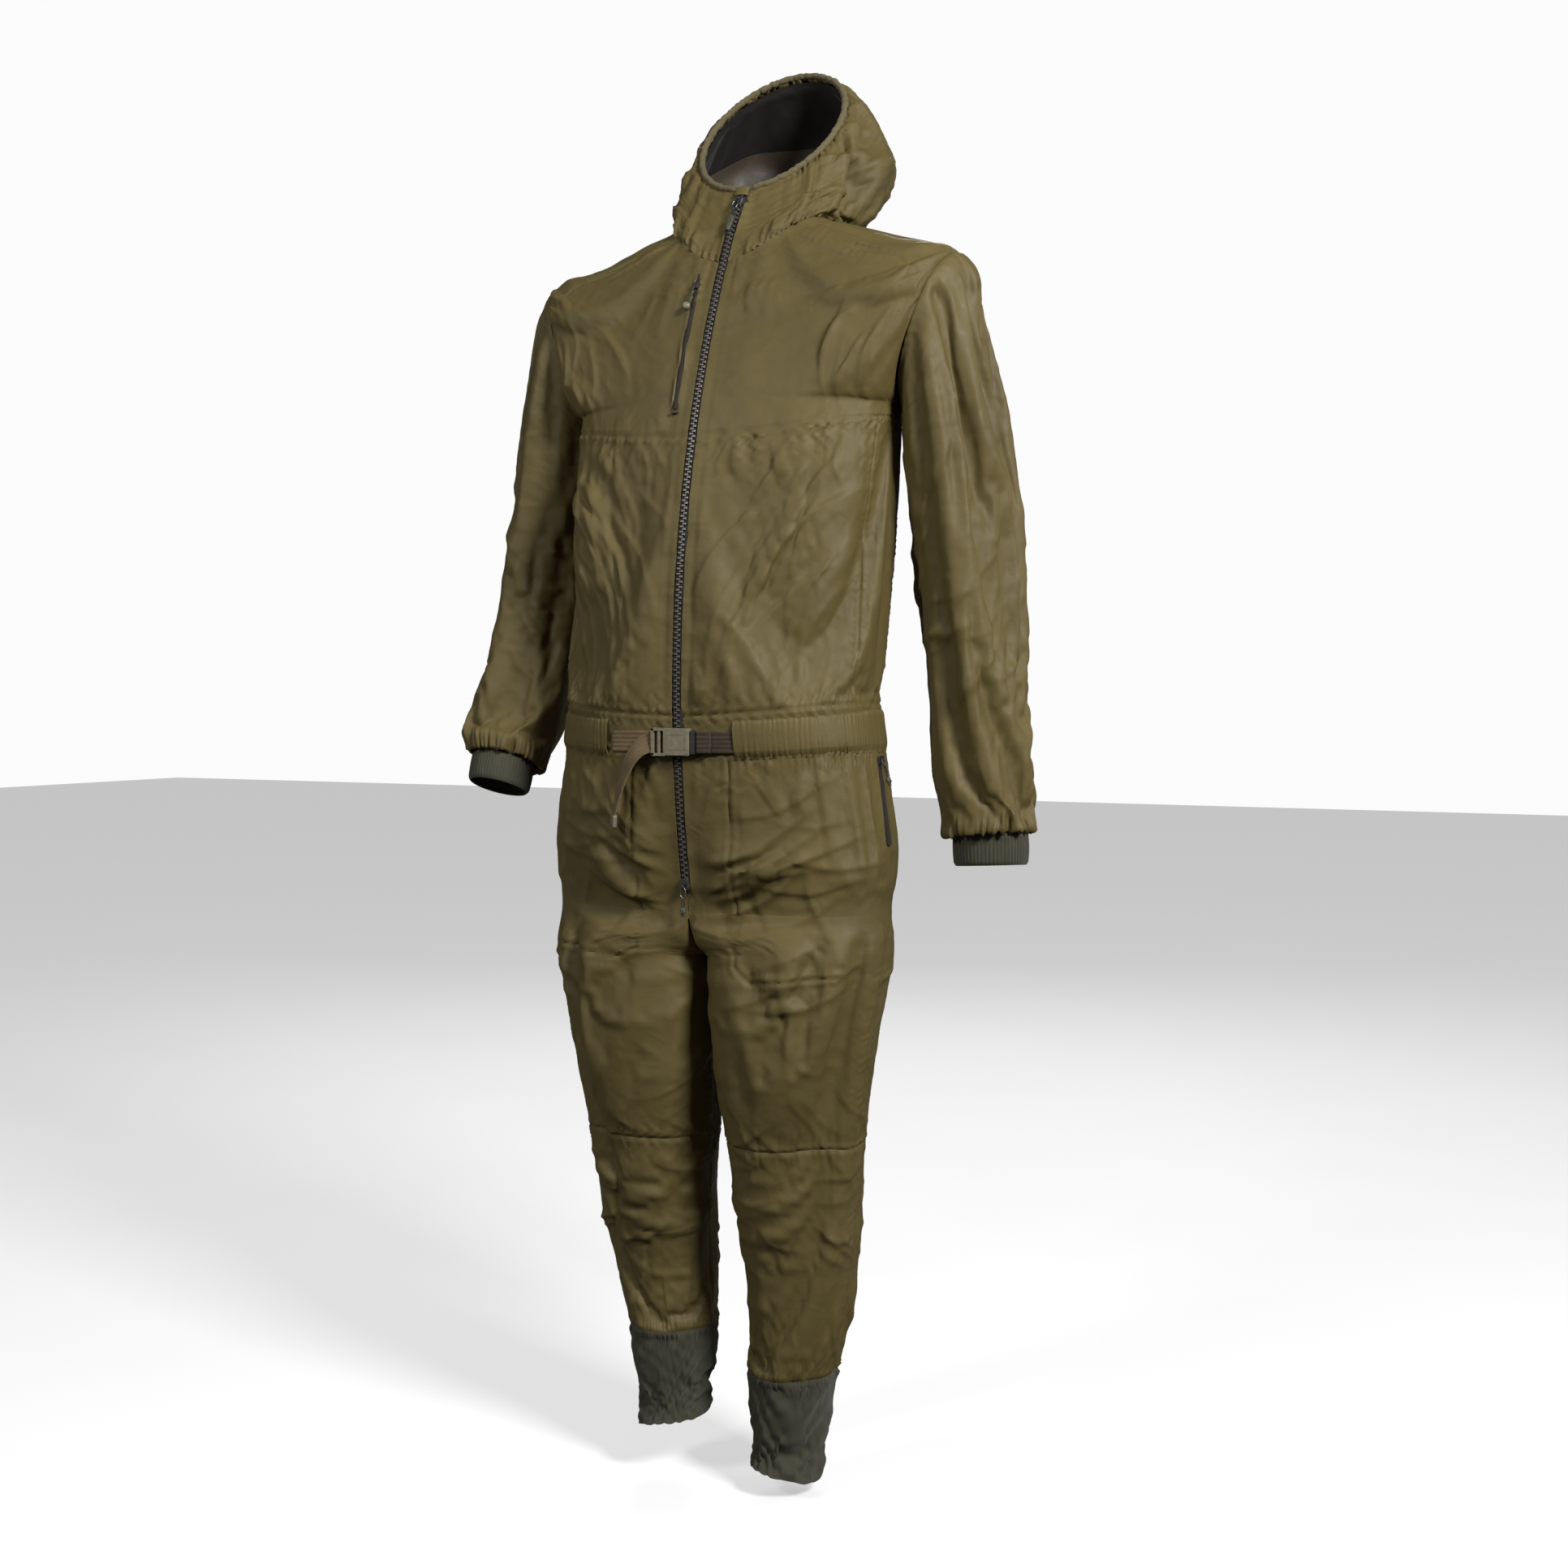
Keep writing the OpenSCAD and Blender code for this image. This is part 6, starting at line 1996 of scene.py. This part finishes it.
mats = {
    "shell": cloth_material("shell_cloth", (0.078, 0.059, 0.019), (0.108, 0.081, 0.028), 0.50, 0.0, 0.34, 420, 0.0002, 0.22),
    "knit": knit_material("knit_cloth", (0.040, 0.040, 0.025), (0.062, 0.061, 0.040)),
    "binding": knit_material("binding_cloth", (0.084, 0.066, 0.032), (0.112, 0.090, 0.044)),
    "lining": cloth_material("lining_cloth", (0.010, 0.009, 0.009), (0.016, 0.015, 0.014), 0.4, 0.15, 0.3, 300, 0.0002),
    "collar": cloth_material("collar_cloth", (0.037, 0.028, 0.017), (0.053, 0.040, 0.025), 0.5, 0.3, 0.3, 300, 0.0002),
    "tape": webbing_material("tape_cloth", (0.012, 0.010, 0.008), (0.030, 0.026, 0.020)),
    "teeth": plain_material("zip_plastic", (0.078, 0.071, 0.060), 0.42, 0.3),
    "slider": plain_material("slider_cast", (0.16, 0.16, 0.16), 0.3, 0.9),
    "black": plain_material("black_plastic", (0.018, 0.018, 0.018), 0.4),
    "grip": plain_material("grip_rubber", (0.045, 0.050, 0.028), 0.55),
    "cord": webbing_material("cord_braid", (0.020, 0.020, 0.014), (0.050, 0.050, 0.034)),
    "tan": webbing_material("tan_webbing", (0.085, 0.055, 0.024), (0.24, 0.17, 0.085)),
    "dark": webbing_material("dark_webbing", (0.025, 0.016, 0.008), (0.085, 0.055, 0.030)),
    "buckle": plain_material("buckle_plastic", (0.150, 0.135, 0.088), 0.42),
    "insert": plain_material("insert_plastic", (0.025, 0.022, 0.018), 0.4),
    "tack": webbing_material("tack_thread", (0.035, 0.028, 0.014), (0.08, 0.065, 0.035)),
}


def paint(obj, key):
    obj.data.materials.clear()
    obj.data.materials.append(mats[key])


def dress(obj, key):
    paint(obj, "slider" if key == "metal" else key)


for obj in made:
    name = obj.name
    if "knit" in name:
        dress(obj, "knit")
    elif "lining" in name:
        dress(obj, "lining")
    elif "collar" in name:
        dress(obj, "collar")
    elif name == "hood_edge":
        dress(obj, "binding")
    else:
        dress(obj, "shell")
dress(teeth, "teeth")
dress(tapes, "tape")
for obj in (upper_slider, lower_slider):
    dress(obj, "slider")
for obj, key in pulls:
    dress(obj, key)
dress(chest_strip, "tape")
dress(chest_bag, "lining")
for obj, key in chest_bits:
    dress(obj, key)
for side in (1, -1):
    strip, body, pull, bag = hip_made[side]
    dress(strip, "tape")
    dress(body, "black")
    dress(bag, "lining")
    for obj, key in pull:
        dress(obj, "black" if key == "metal" else key)
for obj, key in ((belt_right, "tan"), (belt_left, "dark"), (belt_fold, "dark"), (tail, "tan"),
                 (case, "buckle"), (ridge, "buckle"), (insert, "insert"), (tail_tip, "buckle"),
                 (loop, "tape"), (garage, "shell")):
    dress(obj, key)

# --- Stage and light ----------------------------------------------------------------------------------


def stage():
    floor_z = -1.548
    mesh = bpy.data.meshes.new("floor")
    s = 14
    mesh.from_pydata([(-s, -s, floor_z), (s, -s, floor_z), (s, s, floor_z), (-s, s, floor_z)], [], [(0, 1, 2, 3)])
    floor = bpy.data.objects.new("floor", mesh)
    bpy.context.scene.collection.objects.link(floor)
    mat = Nodes("floor_paint")
    noise = mat.add("ShaderNodeTexNoise", Scale=2.0, Detail=2.0)
    tc = mat.add("ShaderNodeTexCoord")
    mat.link(tc.outputs["Object"], noise.inputs["Vector"])
    mat.link(mat.ramp(noise.outputs["Fac"], [(0.3, (0.46, 0.46, 0.46)), (0.7, (0.48, 0.48, 0.48))]),
             mat.bsdf.inputs["Base Color"])
    mat.set(Roughness=0.9, Emission_Strength=0.5)
    mat.bsdf.inputs["Emission Color"].default_value = (1, 1, 1, 1)
    mesh.materials.append(mat.mat)
    floor.visible_diffuse = False
    floor.visible_glossy = False


def area(name, place, aim, size, power, color=(1, 1, 1)):
    data = bpy.data.lights.new(name, "AREA")
    data.shape = "RECTANGLE"
    data.size, data.size_y = size
    data.energy = power
    data.color = color
    obj = bpy.data.objects.new(name, data)
    bpy.context.scene.collection.objects.link(obj)
    obj.location = place
    obj.rotation_euler = (Vector(aim) - Vector(place)).to_track_quat("-Z", "Y").to_euler()


def light_world(seen_as, light):
    """A plain white surround that lights the suit less than it shows."""
    world = bpy.data.worlds.new("studio")
    world.use_nodes = True
    tree = world.node_tree
    tree.nodes.clear()
    out = tree.nodes.new("ShaderNodeOutputWorld")
    mix = tree.nodes.new("ShaderNodeMixShader")
    path = tree.nodes.new("ShaderNodeLightPath")
    tree.links.new(path.outputs["Is Camera Ray"], mix.inputs[0])
    for slot, strength in ((1, light), (2, seen_as)):
        back = tree.nodes.new("ShaderNodeBackground")
        back.inputs[0].default_value = (1, 1, 1, 1)
        back.inputs[1].default_value = strength
        tree.links.new(back.outputs[0], mix.inputs[slot])
    tree.links.new(mix.outputs[0], out.inputs[0])
    bpy.context.scene.world = world


stage()
light_world(0.97, 0.10)
bpy.context.scene.view_settings.view_transform = "Standard"
area("key", (2.7, -1.5, 1.2), (0, 0, -0.7), (0.8, 0.8), 178)
area("front", (-1.4, -3.0, 1.2), (0, 0, -0.7), (0.8, 0.8), 58)
area("rim_left", (2.4, 1.6, 0.4), (0, 0, -0.6), (0.7, 2.0), 16)
area("back", (-1.3, 3.0, 1.2), (0, 0, -0.7), (1.2, 1.2), 45)
